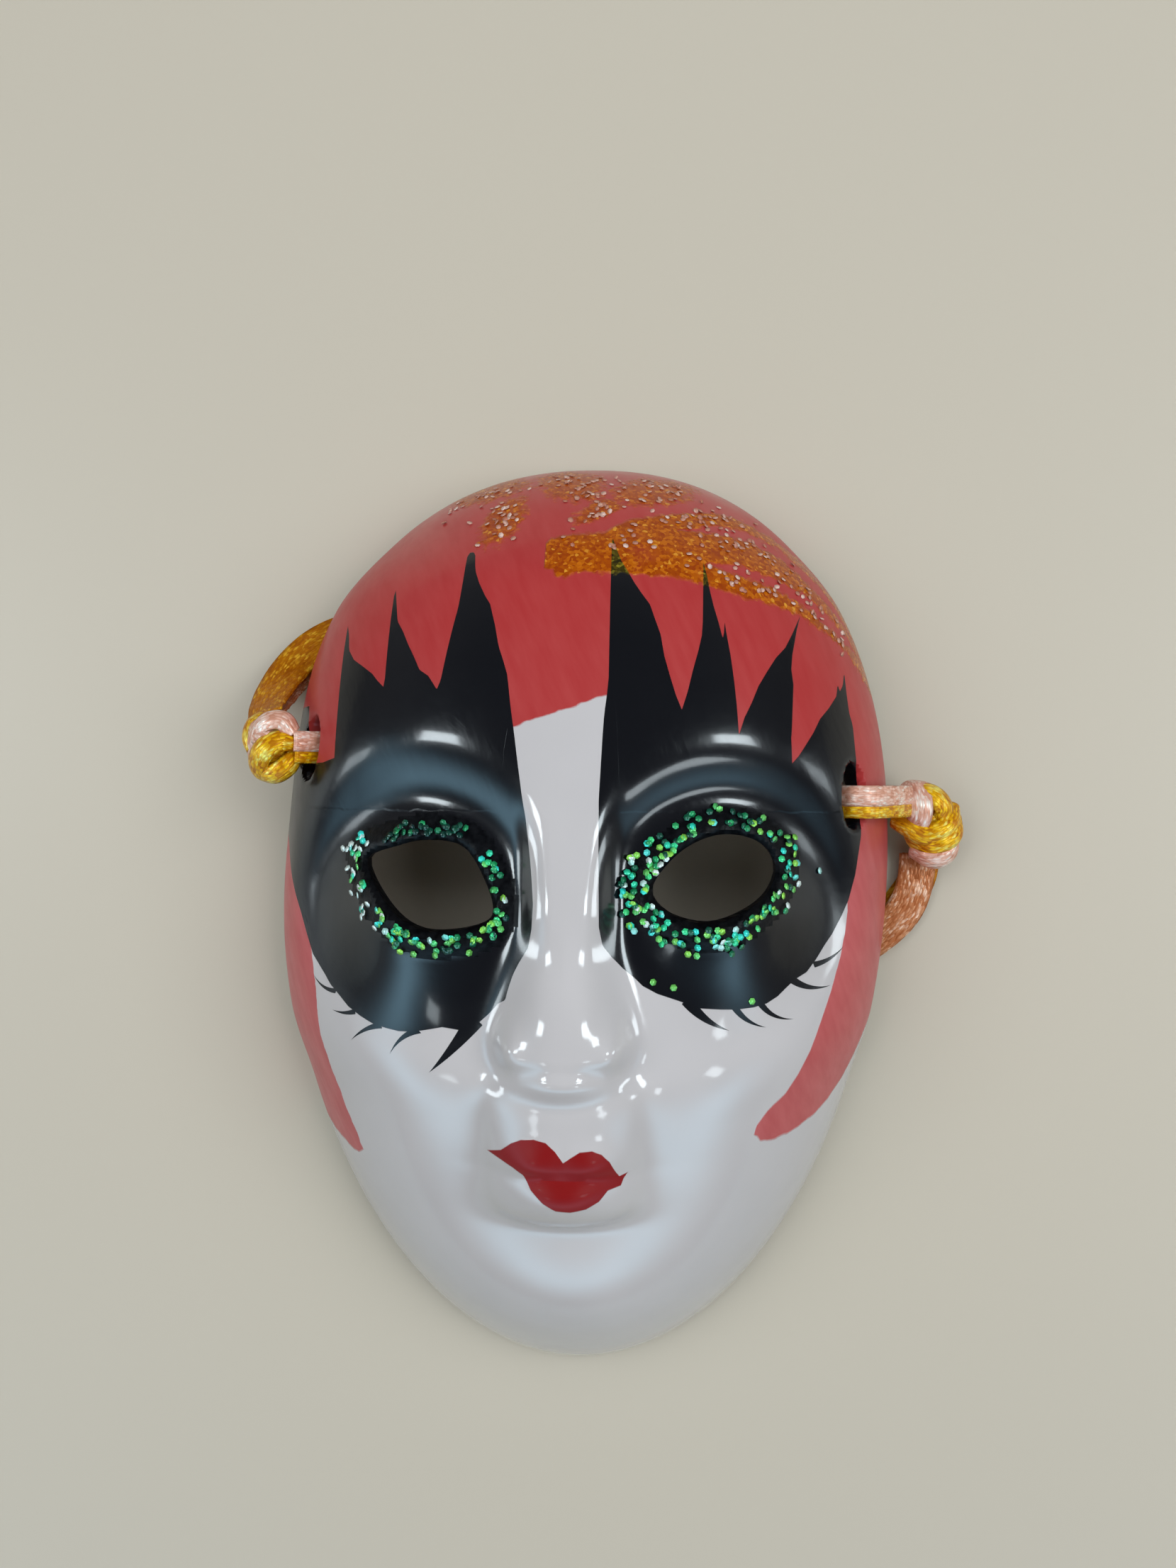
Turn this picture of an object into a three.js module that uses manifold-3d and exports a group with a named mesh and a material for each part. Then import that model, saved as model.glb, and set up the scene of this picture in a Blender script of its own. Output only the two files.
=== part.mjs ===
// A small glazed ceramic face mask, hollow behind, that hangs by a gold and a pink satin ribbon.
// It lies face up. Millimetres: +X to the viewer's right, +Y to the crown, +Z out of the face.
// The origin is on the surface that it lies on, under the middle of the mask.
import * as THREE from "three";
import { mergeVertices } from "three/addons/utils/BufferGeometryUtils.js";
import Module from "manifold-3d";

const wasm = await Module();
wasm.setup();

// Colours and finishes
const GLAZE = 0xdcdce2;
const GOLD = 0xd79a12;
const PINK = 0xe9b7a8;
const GLAZE_ROUGHNESS = 0.12;
const SATIN_ROUGHNESS = 0.45;

// Rim outline: two half ovals that meet where the mask is widest
const LENGTH = 125;
const HALF_WIDTH = 42.4;
const WIDEST_Y = 9;
const CROWN_POWER = 2.23;
const CHIN_POWER = 1.96;
const CROWN_LEAN = 1.4; // the crown leans this far to the viewer's right
// The side of the left eye is a little flat: its share of the width, its middle and its reach
const FLAT_SIDE = { depth: 0.042, y: 18, reach: 18 };

// Shell
const DOME_HEIGHT = 30;
const DOME_POWER = 2.5;
const DOME_ROOT = 1.9;
const DOME_REACH = 0.985; // share of the full dome profile that is used, so the wall leans in a little
const GRID_EVENNESS = 0.55; // of the shell's faces: 0 crowds them to the rim, 1 spreads them evenly
const EDGE_HEIGHT = 0.8; // upright band at the foot of the wall
const WALL = 3;
const CROWN_WALL = 3.4; // thickness over the top of the dome
const INNER_RELIEF = 0.7; // share of the face's relief that the hollow follows
const ARCH_HEIGHT = 3; // the rim lifts at the temples, where the ribbons pass under it
const ARCH = { foot: -23, low: -12, high: 42, top: 52 };

// Face: heights of its forms over the dome
const FACE_X = -0.5; // the nose and mouth sit this far left of the middle
const SOCKET = { x: 18.4, y: 2.8, halfWidth: 13.4, halfHeight: 13.8, depth: 4.8, wall: 1.2 };
const EYELID = { rise: 7.4, reach: 1.16, least: 0.3 };
const SOCKET_FADE = { low: -11, high: 7, least: 0.35 }; // the socket runs out into the cheek below
const BESIDE_NOSE = { near: 1.6, far: 6.6, low: -5, high: 4 }; // the socket starts beside the bridge
const BRIDGE = { top: 24, full: 4, rise: 0.6, halfWidth: 6.2 }; // between the eyes
const NOSE_BACK = { top: 20, tip: -13.5, rise: 5.2, halfWidth: 6.8 }; // from the bridge to the tip
const NOSE_SPREAD = { high: 4, low: -13.5, square: 0.6 }; // where the nose widens and squares off
const NOSE_FOOT = { y: -19.2, curve: 0.03, fall: 6 };
const NOSE_TIP = { y: -10.5, halfWidth: 5.2, halfHeight: 6, rise: 1.2 };
const NOSTRIL = { x: 6.2, y: -13.6, halfWidth: 1.8, halfHeight: 4, rise: 2 };
const MUZZLE = { y: -24.8, halfWidth: 10.3, halfHeight: 10.2, rise: 4.8, hem: 0.25 };
const UPPER_LIP = { x: 3.4, y: -25.4, halfWidth: 3.6, halfHeight: 2.2, rise: 1 };
const LOWER_LIP = { y: -30, halfWidth: 5.2, halfHeight: 2.6, rise: 1.3 };
const LIP_PARTING = { y: -27.4, halfWidth: 7.6, halfHeight: 0.9, rise: -0.6 };
const CHIN = { y: -46, halfWidth: 13, halfHeight: 9, rise: 1.8 };
const CHEEK = { x: 20, y: -15, halfWidth: 11, halfHeight: 11, rise: 1.6 };

// Eye holes: the left one's outline as the viewer sees it, from its sharp outer corner round by the
// top, and the right one's from its outer end
const LEFT_EYE = [
  [-25.1, 8.7], [-21.2, 10.6], [-17, 11.5], [-12.6, 10.7], [-9.9, 6.6],
  [-9, 2.9], [-11.6, 1.3], [-17.2, 1], [-21.4, 3.5],
];
const RIGHT_EYE = [
  [24.7, 8.6], [22.6, 11.5], [17.9, 12.4], [13.2, 10.4], [9.9, 6.2],
  [11.6, 3.4], [16, 2.2], [20, 3.2], [23.4, 5.4],
];
const EYE_STEPS = 40;

// Ribbon slits: ovals through the side wall at the temples
const SLIT_LENGTH = 8;
const SLIT_HEIGHT = 5;
const SLITS = [
  { x: -34.7, y: 22.8 },
  { x: 35.6, y: 17 },
];

// Ribbons
const RIBBON_WIDTH = 5;
const RIBBON_THICKNESS = 0.8; // a loose ribbon with its waves
const RIBBON_STEPS = 42;
const TIE_WIDTH = 4.2; // both ribbons side by side
const TIE_THICKNESS = 1.2;
const TIE_STEPS = 24;

// Each tie's middle line seen along the rim, from its knot in at the slit, down behind the wall and
// out under the rim. The left one climbs back up the wall to its knot. Each point is the distance out
// from the wall's foot, then z.
const TIES = [
  {
    name: "left_tie", side: -1, foot: 41.6, y: 22.8,
    loop: [
      [-5.5, 17.7], [-6.4, 17], [-7.4, 16], [-8.7, 14.8], [-9.8, 13.3], [-9.9, 11.6], [-9.1, 9.6],
      [-8.3, 7.4], [-7.6, 5.1], [-6.5, 3], [-4.4, 1.75], [-1.8, 1.6], [-0.2, 1.9], [0.7, 3.1],
      [0.9, 5.1], [0.6, 7.2], [0.2, 9.2], [0, 10.4],
    ],
  },
  {
    name: "right_tie", side: 1, foot: 42.5, y: 16.2,
    loop: [
      [2.1, 8], [1, 9.9], [-0.4, 12.2], [-2, 14.4], [-3.7, 16.2], [-5.4, 17.3], [-7, 17.1],
      [-8.5, 15.8], [-9.4, 14], [-9.1, 11.8], [-8.2, 9.6], [-7.2, 7.4], [-6.2, 5.2], [-5.1, 3.3],
      [-3.6, 2.1], [-1.9, 1.75], [-0.3, 1.7], [1.1, 1.8],
    ],
  },
];
const KNOTS = [
  { name: "left_knot", at: [-39.1, 22.5, 15.4], size: [3.4, 4.2, 2.5], lean: -0.98, turn: 0.1 },
  { name: "right_knot", at: [47.7, 12.9, 4.6], size: [4.3, 5.4, 3.4], lean: 0, turn: -0.5 },
];

// The hanging ribbons as they are laid: from the right knot under the rim, to and fro on the table
// inside the hollow, out under the rim and up the wall to the left knot. The gold one starts beneath
// the pink one, passes it on the inside of the bend by the right brow and ends on top.
const PINK_ROUTE = [
  [47, 8.8, 1.7], [46.9, 6.6, 1.7], [46.5, 4.2, 1.7], [45.8, 2.1, 1.7], [44.7, 0.3, 1.7],
  [43.2, -1.3, 1.7], [41.4, -2.8, 1.7], [39.2, -4.4, 1.7], [36.2, -6.8, 1.7], [32.2, -9.6, 1.7],
  [27.4, -11.8, 1.7], [20.6, -12.6, 1.7], [11, -11.6, 1.7], [-1, -11.2, 1.7],
  [-13, -12, 1.7], [-24, -10.8, 1.7], [-31.6, -6.4, 1.7], [-34.8, 1.4, 1.7], [-33, 9.4, 1.7],
  [-26.6, 15.4, 1.7], [-17, 18.4, 1.7], [-6, 18.6, 1.7], [5, 17.8, 1.7], [16, 17.4, 1.7],
  [25, 20.4, 1.3], [29.2, 27.6, 0.6], [25.4, 35.2, 0.55], [17, 38.8, 0.55], [7, 37.4, 0.55],
  [-3, 36.2, 0.55], [-12.4, 36.8, 0.55], [-21.4, 38.4, 0.55], [-29.4, 39.4, 0.55],
  [-33.2, 38.7, 0.55], [-36.6, 37.1, 0.6], [-39.3, 35, 1], [-41.3, 32.3, 2.6], [-42, 29.7, 5.6],
  [-41.9, 27.9, 8.6], [-41.5, 26.6, 11.2],
];
const GOLD_ROUTE = [
  [47.7, 8.7, 0.55], [47.5, 6.4, 0.55], [46.6, 4, 0.55], [45.2, 2, 0.55], [43.9, 0.1, 0.55],
  [42.5, -1.6, 0.55], [40.8, -3.2, 0.55], [38.7, -4.9, 0.55], [35.8, -7.2, 0.55],
  [31.9, -10, 0.55], [27.2, -12.2, 0.55], [20.6, -13, 0.55], [11, -12, 0.55],
  [-1, -11.6, 0.55], [-13, -12.4, 0.55], [-24.2, -11.2, 0.55], [-31.9, -6.6, 0.55],
  [-35.1, 1.4, 0.55], [-33.3, 9.7, 0.55], [-26.8, 15.8, 0.55], [-17, 18.8, 0.55], [-6, 19, 0.55],
  [5, 18.4, 0.55], [14, 19.4, 0.55], [21, 22.8, 0.8], [24.2, 28, 1.2], [21.6, 32.8, 1.6],
  [15.6, 36, 1.7], [7, 36.9, 1.7], [-3, 36.6, 1.7], [-12.4, 37.2, 1.7], [-21.4, 38.9, 1.7],
  [-29.6, 40, 1.7], [-33.8, 39.4, 1.7], [-37.3, 37.8, 1.75], [-39.8, 35.7, 2.2], [-41.4, 33.1, 4.2],
  [-42, 30.4, 7.4], [-41.9, 28.4, 10.4], [-41.5, 27.2, 12.7],
];
const RIBBONS = [
  { name: "gold_ribbon", route: GOLD_ROUTE, colour: GOLD },
  { name: "pink_ribbon", route: PINK_ROUTE, colour: PINK },
];

const { clamp, inverseLerp, lerp, smoothstep } = THREE.MathUtils;
const bell = (t) => Math.exp(-t * t);

// How far from a form's middle a point is, in shares of the form's size. A form with an x is a pair.
const away = (x, y, { x: side = 0, y: middle, halfWidth, halfHeight }) =>
  Math.hypot((side ? Math.abs(x) - side : x) / halfWidth, (y - middle) / halfHeight);
const mound = (x, y, form) => form.rise * bell(away(x, y, form));

// How far a point at height y is carried sideways by the lean of the crown
const lean = (y) => CROWN_LEAN * Math.max(0, y / (LENGTH / 2)) ** 2;

// What is left of a width at x, y after the left side is pressed flat
const pressed = (x, y) =>
  x < 0 ? 1 - FLAT_SIDE.depth * bell((y - FLAT_SIDE.y) / FLAT_SIDE.reach) : 1;

// Distance from (0, WIDEST_Y) to an outline set in from the rim, in the direction of dx, dy
function outlineRadius(dx, dy, inset = 0) {
  const reach = Math.hypot(dx, dy) || 1;
  const half = dy >= 0 ? LENGTH / 2 - WIDEST_Y : LENGTH / 2 + WIDEST_Y;
  const power = dy >= 0 ? CROWN_POWER : CHIN_POWER;
  const across = Math.abs(dx / reach / (HALF_WIDTH - inset)) ** power;
  const along = Math.abs(dy / reach / (half - inset)) ** power;
  return reach && (across + along || 1) ** (-1 / power);
}

// 0 over the middle of the dome, 1 at the outline
function share(x, y, inset) {
  const full = x / pressed(x, y);
  return Math.hypot(full, y - WIDEST_Y) / outlineRadius(full, y - WIDEST_Y, inset);
}

function dome(part, height) {
  const profile = (s) => (1 - Math.min(1, s) ** DOME_POWER) ** (1 / DOME_ROOT);
  const foot = profile(DOME_REACH);
  return (height * (profile(DOME_REACH * part) - foot)) / (1 - foot);
}

function eye(x, y) {
  const out = away(x, y, SOCKET);
  const deep = lerp(SOCKET_FADE.least, 1, smoothstep(y, SOCKET_FADE.low, SOCKET_FADE.high));
  const crown = Math.max(0, 1 - (out / EYELID.reach) ** 2) ** 2;
  const lid = EYELID.rise * lerp(EYELID.least, 1, deep) * crown;
  const beside = smoothstep(Math.abs(x), BESIDE_NOSE.near, BESIDE_NOSE.far);
  const start = lerp(1, beside, smoothstep(y, BESIDE_NOSE.low, BESIDE_NOSE.high));
  return lid - SOCKET.depth * deep * start * Math.exp(-((out / SOCKET.wall) ** 5));
}

function nose(x, y) {
  const down = clamp(inverseLerp(NOSE_BACK.top, NOSE_BACK.tip, y), 0, 1);
  const spread = 1 - smoothstep(y, NOSE_SPREAD.low, NOSE_SPREAD.high);
  const width = lerp(BRIDGE.halfWidth, NOSE_BACK.halfWidth, spread);
  const crest = lerp(BRIDGE.rise, NOSE_BACK.rise, down ** 1.2);
  const across = Math.exp(-((Math.abs(x) / width) ** (2.8 + NOSE_SPREAD.square * spread)));
  const foot = NOSE_FOOT.y + NOSE_FOOT.curve * x * x;
  const under = smoothstep(y, foot, foot + NOSE_FOOT.fall);
  const bridge = crest * across * (1 - smoothstep(y, BRIDGE.full, BRIDGE.top));
  return (bridge + mound(x, y, NOSE_TIP) + mound(x, y, NOSTRIL)) * under;
}

function mouth(x, y) {
  const left = 1 - (x / MUZZLE.halfWidth) ** 2 - ((y - MUZZLE.y) / MUZZLE.halfHeight) ** 6;
  const full = left > MUZZLE.hem ? left : MUZZLE.hem * Math.exp(left / MUZZLE.hem - 1);
  const muzzle = MUZZLE.rise * full ** 0.7;
  const forms = [UPPER_LIP, LOWER_LIP, LIP_PARTING];
  return forms.reduce((height, form) => height + mound(x, y, form), muzzle);
}

const relief = (x, y) =>
  eye(x, y) + nose(x - FACE_X, y) + mouth(x - FACE_X, y) + mound(x, y, CHIN) + mound(x, y, CHEEK);

// Height of the rim's underside
const arch = (y) =>
  ARCH_HEIGHT * smoothstep(y, ARCH.foot, ARCH.low) * (1 - smoothstep(y, ARCH.high, ARCH.top));

const lifted = (height, y) => arch(y) + height * (1 - arch(y) / DOME_HEIGHT);

// Height of the face, and of the hollow behind it, at a place given without the lean
function faceHeight(x, y) {
  const part = share(x, y);
  const eased = 1 - smoothstep(part, 0.84, 0.99);
  return lifted(EDGE_HEIGHT + dome(part, DOME_HEIGHT) + relief(x, y) * eased, y);
}
function hollowHeight(x, y) {
  const part = share(x, y, WALL);
  const eased = INNER_RELIEF * (1 - smoothstep(part, 0.7, 0.98));
  return lifted(EDGE_HEIGHT + dome(part, DOME_HEIGHT - CROWN_WALL) + relief(x, y) * eased, y);
}

function solidOf(geometry) {
  const bare = geometry.clone();
  bare.deleteAttribute("normal");
  bare.deleteAttribute("uv");
  const merged = mergeVertices(bare, 1e-4);
  return new wasm.Manifold(
    new wasm.Mesh({
      numProp: 3,
      vertProperties: new Float32Array(merged.attributes.position.array),
      triVerts: new Uint32Array(merged.index.array),
    }),
  );
}

function geometryOf(solid) {
  const { vertProperties, triVerts } = solid.getMesh();
  const geometry = new THREE.BufferGeometry();
  geometry.setAttribute("position", new THREE.BufferAttribute(vertProperties, 3));
  geometry.setIndex(new THREE.BufferAttribute(triVerts, 1));
  geometry.computeVertexNormals();
  return geometry;
}

// A solid that fills an outline set in from the rim: a box whose square faces are drawn out to the
// outline, with the given heights of its top and bottom
function pillow(columns, rows, inset, topHeight, bottomHeight) {
  const box = new THREE.BoxGeometry(2, 2, 2, columns, rows, 1);
  const points = box.attributes.position;
  for (let i = 0; i < points.count; i++) {
    const u = points.getX(i);
    const v = points.getY(i);
    const dx = u * Math.sqrt(1 - (v * v) / 2);
    const dy = v * Math.sqrt(1 - (u * u) / 2);
    const ring = Math.min(1, Math.hypot(dx, dy));
    const out = lerp(Math.sin((ring * Math.PI) / 2), ring, GRID_EVENNESS);
    const half = dy >= 0 ? LENGTH / 2 - WIDEST_Y : LENGTH / 2 + WIDEST_Y;
    const way = new THREE.Vector2(dx * HALF_WIDTH, dy * half);
    const reach = out * outlineRadius(way.x, way.y, inset);
    way.setLength(reach);
    const y = WIDEST_Y + way.y;
    const x = way.x * pressed(way.x, y);
    const z = points.getZ(i) > 0 ? topHeight(x, y) : bottomHeight(y);
    points.setXYZ(i, x + lean(y), y, z);
  }
  return solidOf(box);
}

function eyeCutter(outline) {
  const loop = outline.map(([x, y]) => new THREE.Vector3(x, y, 0));
  const curve = new THREE.CatmullRomCurve3(loop, true);
  const shape = new THREE.Shape(curve.getPoints(EYE_STEPS).slice(0, -1));
  const prism = new THREE.ExtrudeGeometry(shape, { depth: 2 * DOME_HEIGHT, bevelEnabled: false });
  return solidOf(prism);
}

function slitCutter({ x, y }) {
  const flat = x - lean(y);
  const step = 0.5;
  const height = faceHeight(flat, y);
  const outward = new THREE.Vector3(
    faceHeight(flat - step, y) - faceHeight(flat + step, y),
    faceHeight(flat, y - step) - faceHeight(flat, y + step),
    2 * step,
  ).normalize();
  const shape = new THREE.Shape();
  shape.absellipse(0, 0, SLIT_HEIGHT / 2, SLIT_LENGTH / 2, 0, 2 * Math.PI);
  const depth = 4 * WALL;
  const prism = new THREE.ExtrudeGeometry(shape, { depth, bevelEnabled: false, curveSegments: 20 });
  prism.translate(0, 0, -depth / 2);
  const across = new THREE.Vector3(0, 1, 0).cross(outward).normalize();
  const along = new THREE.Vector3().crossVectors(outward, across);
  const place = new THREE.Matrix4().makeBasis(across, along, outward).setPosition(x, y, height);
  return solidOf(prism.applyMatrix4(place));
}

function maskGeometry() {
  const outside = pillow(36, 50, 0, faceHeight, arch);
  const hollow = pillow(18, 26, WALL, hollowHeight, () => -WALL);
  const cutters = [eyeCutter(LEFT_EYE), eyeCutter(RIGHT_EYE), ...SLITS.map(slitCutter)];
  return geometryOf(cutters.reduce((shell, cutter) => shell.subtract(cutter), outside.subtract(hollow)));
}

// A flat ribbon laid along its route
function ribbonGeometry({ route }) {
  const line = route.map(([x, y, z]) => new THREE.Vector3(x, y, z));
  const section = new THREE.Shape();
  section.absellipse(0, 0, RIBBON_THICKNESS / 2, RIBBON_WIDTH / 2, 0, 2 * Math.PI);
  const outline = new THREE.Shape(section.getPoints(2).slice(0, -1));
  return new THREE.ExtrudeGeometry(outline, {
    steps: RIBBON_STEPS,
    extrudePath: new THREE.CatmullRomCurve3(line),
  });
}

// The ribbons' bend round the strip of rim between slit and edge: a flat band with the tie's loop as
// its side view
function tieGeometry({ side, foot, y, loop }) {
  const curve = new THREE.CatmullRomCurve3(loop.map(([out, z]) => new THREE.Vector3(foot + out, z, 0)));
  const outer = [];
  const inner = [];
  for (let i = 0; i <= TIE_STEPS; i++) {
    const point = curve.getPointAt(i / TIE_STEPS);
    const way = curve.getTangentAt(i / TIE_STEPS).multiplyScalar(TIE_THICKNESS / 2);
    outer.push(new THREE.Vector2(point.x + way.y, point.y - way.x));
    inner.unshift(new THREE.Vector2(point.x - way.y, point.y + way.x));
  }
  const band = new THREE.ExtrudeGeometry(new THREE.Shape([...outer, ...inner]), {
    depth: TIE_WIDTH,
    bevelEnabled: false,
  });
  band.translate(0, 0, -TIE_WIDTH / 2).rotateX(Math.PI / 2);
  if (side < 0) band.rotateZ(Math.PI);
  return band.translate(0, y, 0);
}

// A knot of both ribbons: a lump with three wraps round it
function knotGeometry({ at, size, lean: slope, turn }) {
  const core = new THREE.SphereGeometry(0.82, 7, 5);
  const wraps = [
    [0, 0, 0],
    [1.2, 0.5, 0.4],
    [-1, 0.9, -0.6],
  ].map(([rx, ry, rz]) => {
    const wrap = new THREE.TorusGeometry(0.68, 0.3, 5, 10);
    wrap.rotateX(rx).rotateY(ry).rotateZ(rz);
    return solidOf(wrap);
  });
  const knot = geometryOf(wraps.reduce((lump, wrap) => lump.add(wrap), solidOf(core)));
  knot.scale(size[0], size[1], size[2]).rotateZ(turn).rotateY(slope);
  return knot.translate(at[0], at[1], at[2]);
}

function piece(name, geometry, colour, roughness) {
  const material = new THREE.MeshStandardMaterial({ color: colour, roughness, metalness: 0 });
  const mesh = new THREE.Mesh(geometry, material);
  mesh.name = name;
  return mesh;
}

const wallMask = new THREE.Group();
wallMask.name = "wall_mask";
wallMask.add(piece("mask", maskGeometry(), GLAZE, GLAZE_ROUGHNESS));
for (const ribbon of RIBBONS) {
  wallMask.add(piece(ribbon.name, ribbonGeometry(ribbon), ribbon.colour, SATIN_ROUGHNESS));
}
for (const tie of TIES) wallMask.add(piece(tie.name, tieGeometry(tie), PINK, SATIN_ROUGHNESS));
for (const knot of KNOTS) wallMask.add(piece(knot.name, knotGeometry(knot), GOLD, SATIN_ROUGHNESS));

export default wallMask;
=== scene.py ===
"""A small glazed ceramic face mask with painted make-up, lying face up, and the ribbons that hang it.

Lengths are millimetres until a piece is finished, which turns its mesh to metres. +X is the viewer's
right, +Y the crown, +Z out of the face.
"""

import math
from bisect import bisect_right
from collections import namedtuple
from random import Random

import bmesh
import bpy
from mathutils import Matrix, Vector


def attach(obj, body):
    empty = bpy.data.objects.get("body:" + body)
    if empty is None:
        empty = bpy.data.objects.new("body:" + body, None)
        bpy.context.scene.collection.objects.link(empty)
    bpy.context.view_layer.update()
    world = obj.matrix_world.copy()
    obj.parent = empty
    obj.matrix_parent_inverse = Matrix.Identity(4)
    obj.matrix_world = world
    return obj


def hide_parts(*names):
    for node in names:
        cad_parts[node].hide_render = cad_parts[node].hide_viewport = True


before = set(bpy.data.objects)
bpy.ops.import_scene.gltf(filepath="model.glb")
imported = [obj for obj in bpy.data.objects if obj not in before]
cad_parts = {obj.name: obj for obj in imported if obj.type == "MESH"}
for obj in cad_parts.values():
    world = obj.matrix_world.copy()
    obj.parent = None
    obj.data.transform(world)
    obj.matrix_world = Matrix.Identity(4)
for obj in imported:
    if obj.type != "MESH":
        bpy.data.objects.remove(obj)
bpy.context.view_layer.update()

MM = 0.001
UP = Vector((0, 0, 1))

# Sizes, as in the part's own source

LENGTH = 125
HALF_WIDTH = 42.4
WIDEST_Y = 9
CROWN_POWER = 2.23
CHIN_POWER = 1.96
CROWN_LEAN = 1.4
FLAT_SIDE = dict(depth=0.042, y=18, reach=18)
DOME_HEIGHT = 30
DOME_POWER = 2.5
DOME_ROOT = 1.9
DOME_REACH = 0.985
EDGE_HEIGHT = 0.8
WALL = 3
CROWN_WALL = 3.4
INNER_RELIEF = 0.7
ARCH_HEIGHT = 3
ARCH_START = (-23, -12)
ARCH_END = (42, 52)
FACE_FADE = (0.84, 0.99)
HOLLOW_FADE = (0.7, 0.98)

# A mound on the face, or a pair of them: how far out, its place along, its half sizes and its rise
Form = namedtuple("Form", "x y half_width half_height rise")
FACE_X = -0.5
SOCKET = Form(18.4, 2.8, 13.4, 13.8, -4.8)
SOCKET_WALL = 1.2
SOCKET_LEAST = 0.35
SOCKET_FADE = (-11, 7)
BESIDE_NOSE = (1.6, 6.6)
BESIDE_NOSE_FADE = (-5, 4)
EYELID_RISE = 7.4
EYELID_REACH = 1.16
EYELID_LEAST = 0.3
# The nose, from its bridge to its tip: the line it runs along, its rise, width and squareness
NOSE_LINE = (20, -13.5)
NOSE_RISE = (0.6, 5.2)
NOSE_HALF_WIDTH = (6.2, 6.8)
NOSE_POWER = (2.8, 3.4)
# Where it spreads, where the bridge sinks into the brow, and its foot over the lip
NOSE_SPREAD = (-13.5, 4)
BRIDGE_FADE = (4, 24)
NOSE_FOOT = -19.2
NOSE_FOOT_CURVE = 0.03
NOSE_FOOT_FALL = 6
NOSE_TIP = Form(0, -10.5, 5.2, 6, 1.2)
NOSTRIL = Form(6.2, -13.6, 1.8, 4, 2)
MUZZLE = Form(0, -24.8, 10.3, 10.2, 4.8)
MUZZLE_HEM = 0.25
UPPER_LIP = Form(3.4, -25.4, 3.6, 2.2, 1)
LOWER_LIP = Form(0, -30, 5.2, 2.6, 1.3)
LIP_PARTING = Form(0, -27.4, 7.6, 0.9, -0.6)
CHIN = Form(0, -46, 13, 9, 1.8)
CHEEK = Form(20, -15, 11, 11, 1.6)

LEFT_EYE = [
    (-25.1, 8.7), (-21.2, 10.6), (-17, 11.5), (-12.6, 10.7), (-9.9, 6.6), (-9, 2.9), (-11.6, 1.3),
    (-17.2, 1), (-21.4, 3.5),
]
RIGHT_EYE = [
    (24.7, 8.6), (22.6, 11.5), (17.9, 12.4), (13.2, 10.4), (9.9, 6.2), (11.6, 3.4), (16, 2.2),
    (20, 3.2), (23.4, 5.4),
]
SLIT_LENGTH = 8
SLIT_HEIGHT = 5
SLITS = [(-34.7, 22.8), (35.6, 17)]

# Grid of the face, and how it is rounded over at the holes and the rim
FACE_GRID = (200, 290)
HOLLOW_GRID = (90, 130)
GRID_EVENNESS = 0.5
HOLE_ROUNDING = 0.8
BACK_ROUNDING = -0.3
AROUND_HOLE = 5
SMOOTHED_BAND = 2
SMOOTHING_ROUNDS = 4
GLUE_REACH = 3.2
GLUE_HEIGHT = 0.3
GLUE_START = (0.2, 1)
GLUE_END = (1.8, 3.2)
GLUE_LUMPS = (0.7, 1.3)
RIM_ROUNDING = [(0, 0.55), (0.12, 0.25), (0.35, 0.07), (0.75, 0), (2.3, 0), (2.7, 0.1), (2.93, 0.35)]

# Ribbon routes, in metres, as in the part's own source

RIBBON_WIDTH = 5
RIBBON_THICKNESS = 0.22
TIE_RIBBON_WIDTH = 2.6
TIE_SHIFT = 0.75
PINK_ROUTE = [
    (0.047, 0.0088, 0.0017), (0.0469, 0.0066, 0.0017), (0.0465, 0.0042, 0.0017),
    (0.0458, 0.0021, 0.0017), (0.0447, 0.0003, 0.0017), (0.0432, -0.0013, 0.0017),
    (0.0414, -0.0028, 0.0017), (0.0392, -0.0044, 0.0017), (0.0362, -0.0068, 0.0017),
    (0.0322, -0.0096, 0.0017), (0.0274, -0.0118, 0.0017), (0.0206, -0.0126, 0.0017),
    (0.011, -0.0116, 0.0017), (-0.001, -0.0112, 0.0017), (-0.013, -0.012, 0.0017),
    (-0.024, -0.0108, 0.0017), (-0.0316, -0.0064, 0.0017), (-0.0348, 0.0014, 0.0017),
    (-0.033, 0.0094, 0.0017), (-0.0266, 0.0154, 0.0017), (-0.017, 0.0184, 0.0017),
    (-0.006, 0.0186, 0.0017), (0.005, 0.0178, 0.0017), (0.016, 0.0174, 0.0017), (0.025, 0.0204, 0.0013),
    (0.0292, 0.0276, 0.0006), (0.0254, 0.0352, 0.00055), (0.017, 0.0388, 0.00055),
    (0.007, 0.0374, 0.00055), (-0.003, 0.0362, 0.00055), (-0.0124, 0.0368, 0.00055),
    (-0.0214, 0.0384, 0.00055), (-0.0294, 0.0394, 0.00055), (-0.0332, 0.0387, 0.00055),
    (-0.0366, 0.0371, 0.0006), (-0.0393, 0.035, 0.001), (-0.0413, 0.0323, 0.0026),
    (-0.042, 0.0297, 0.0056), (-0.0419, 0.0279, 0.0086), (-0.0415, 0.0266, 0.0112),
]
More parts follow.
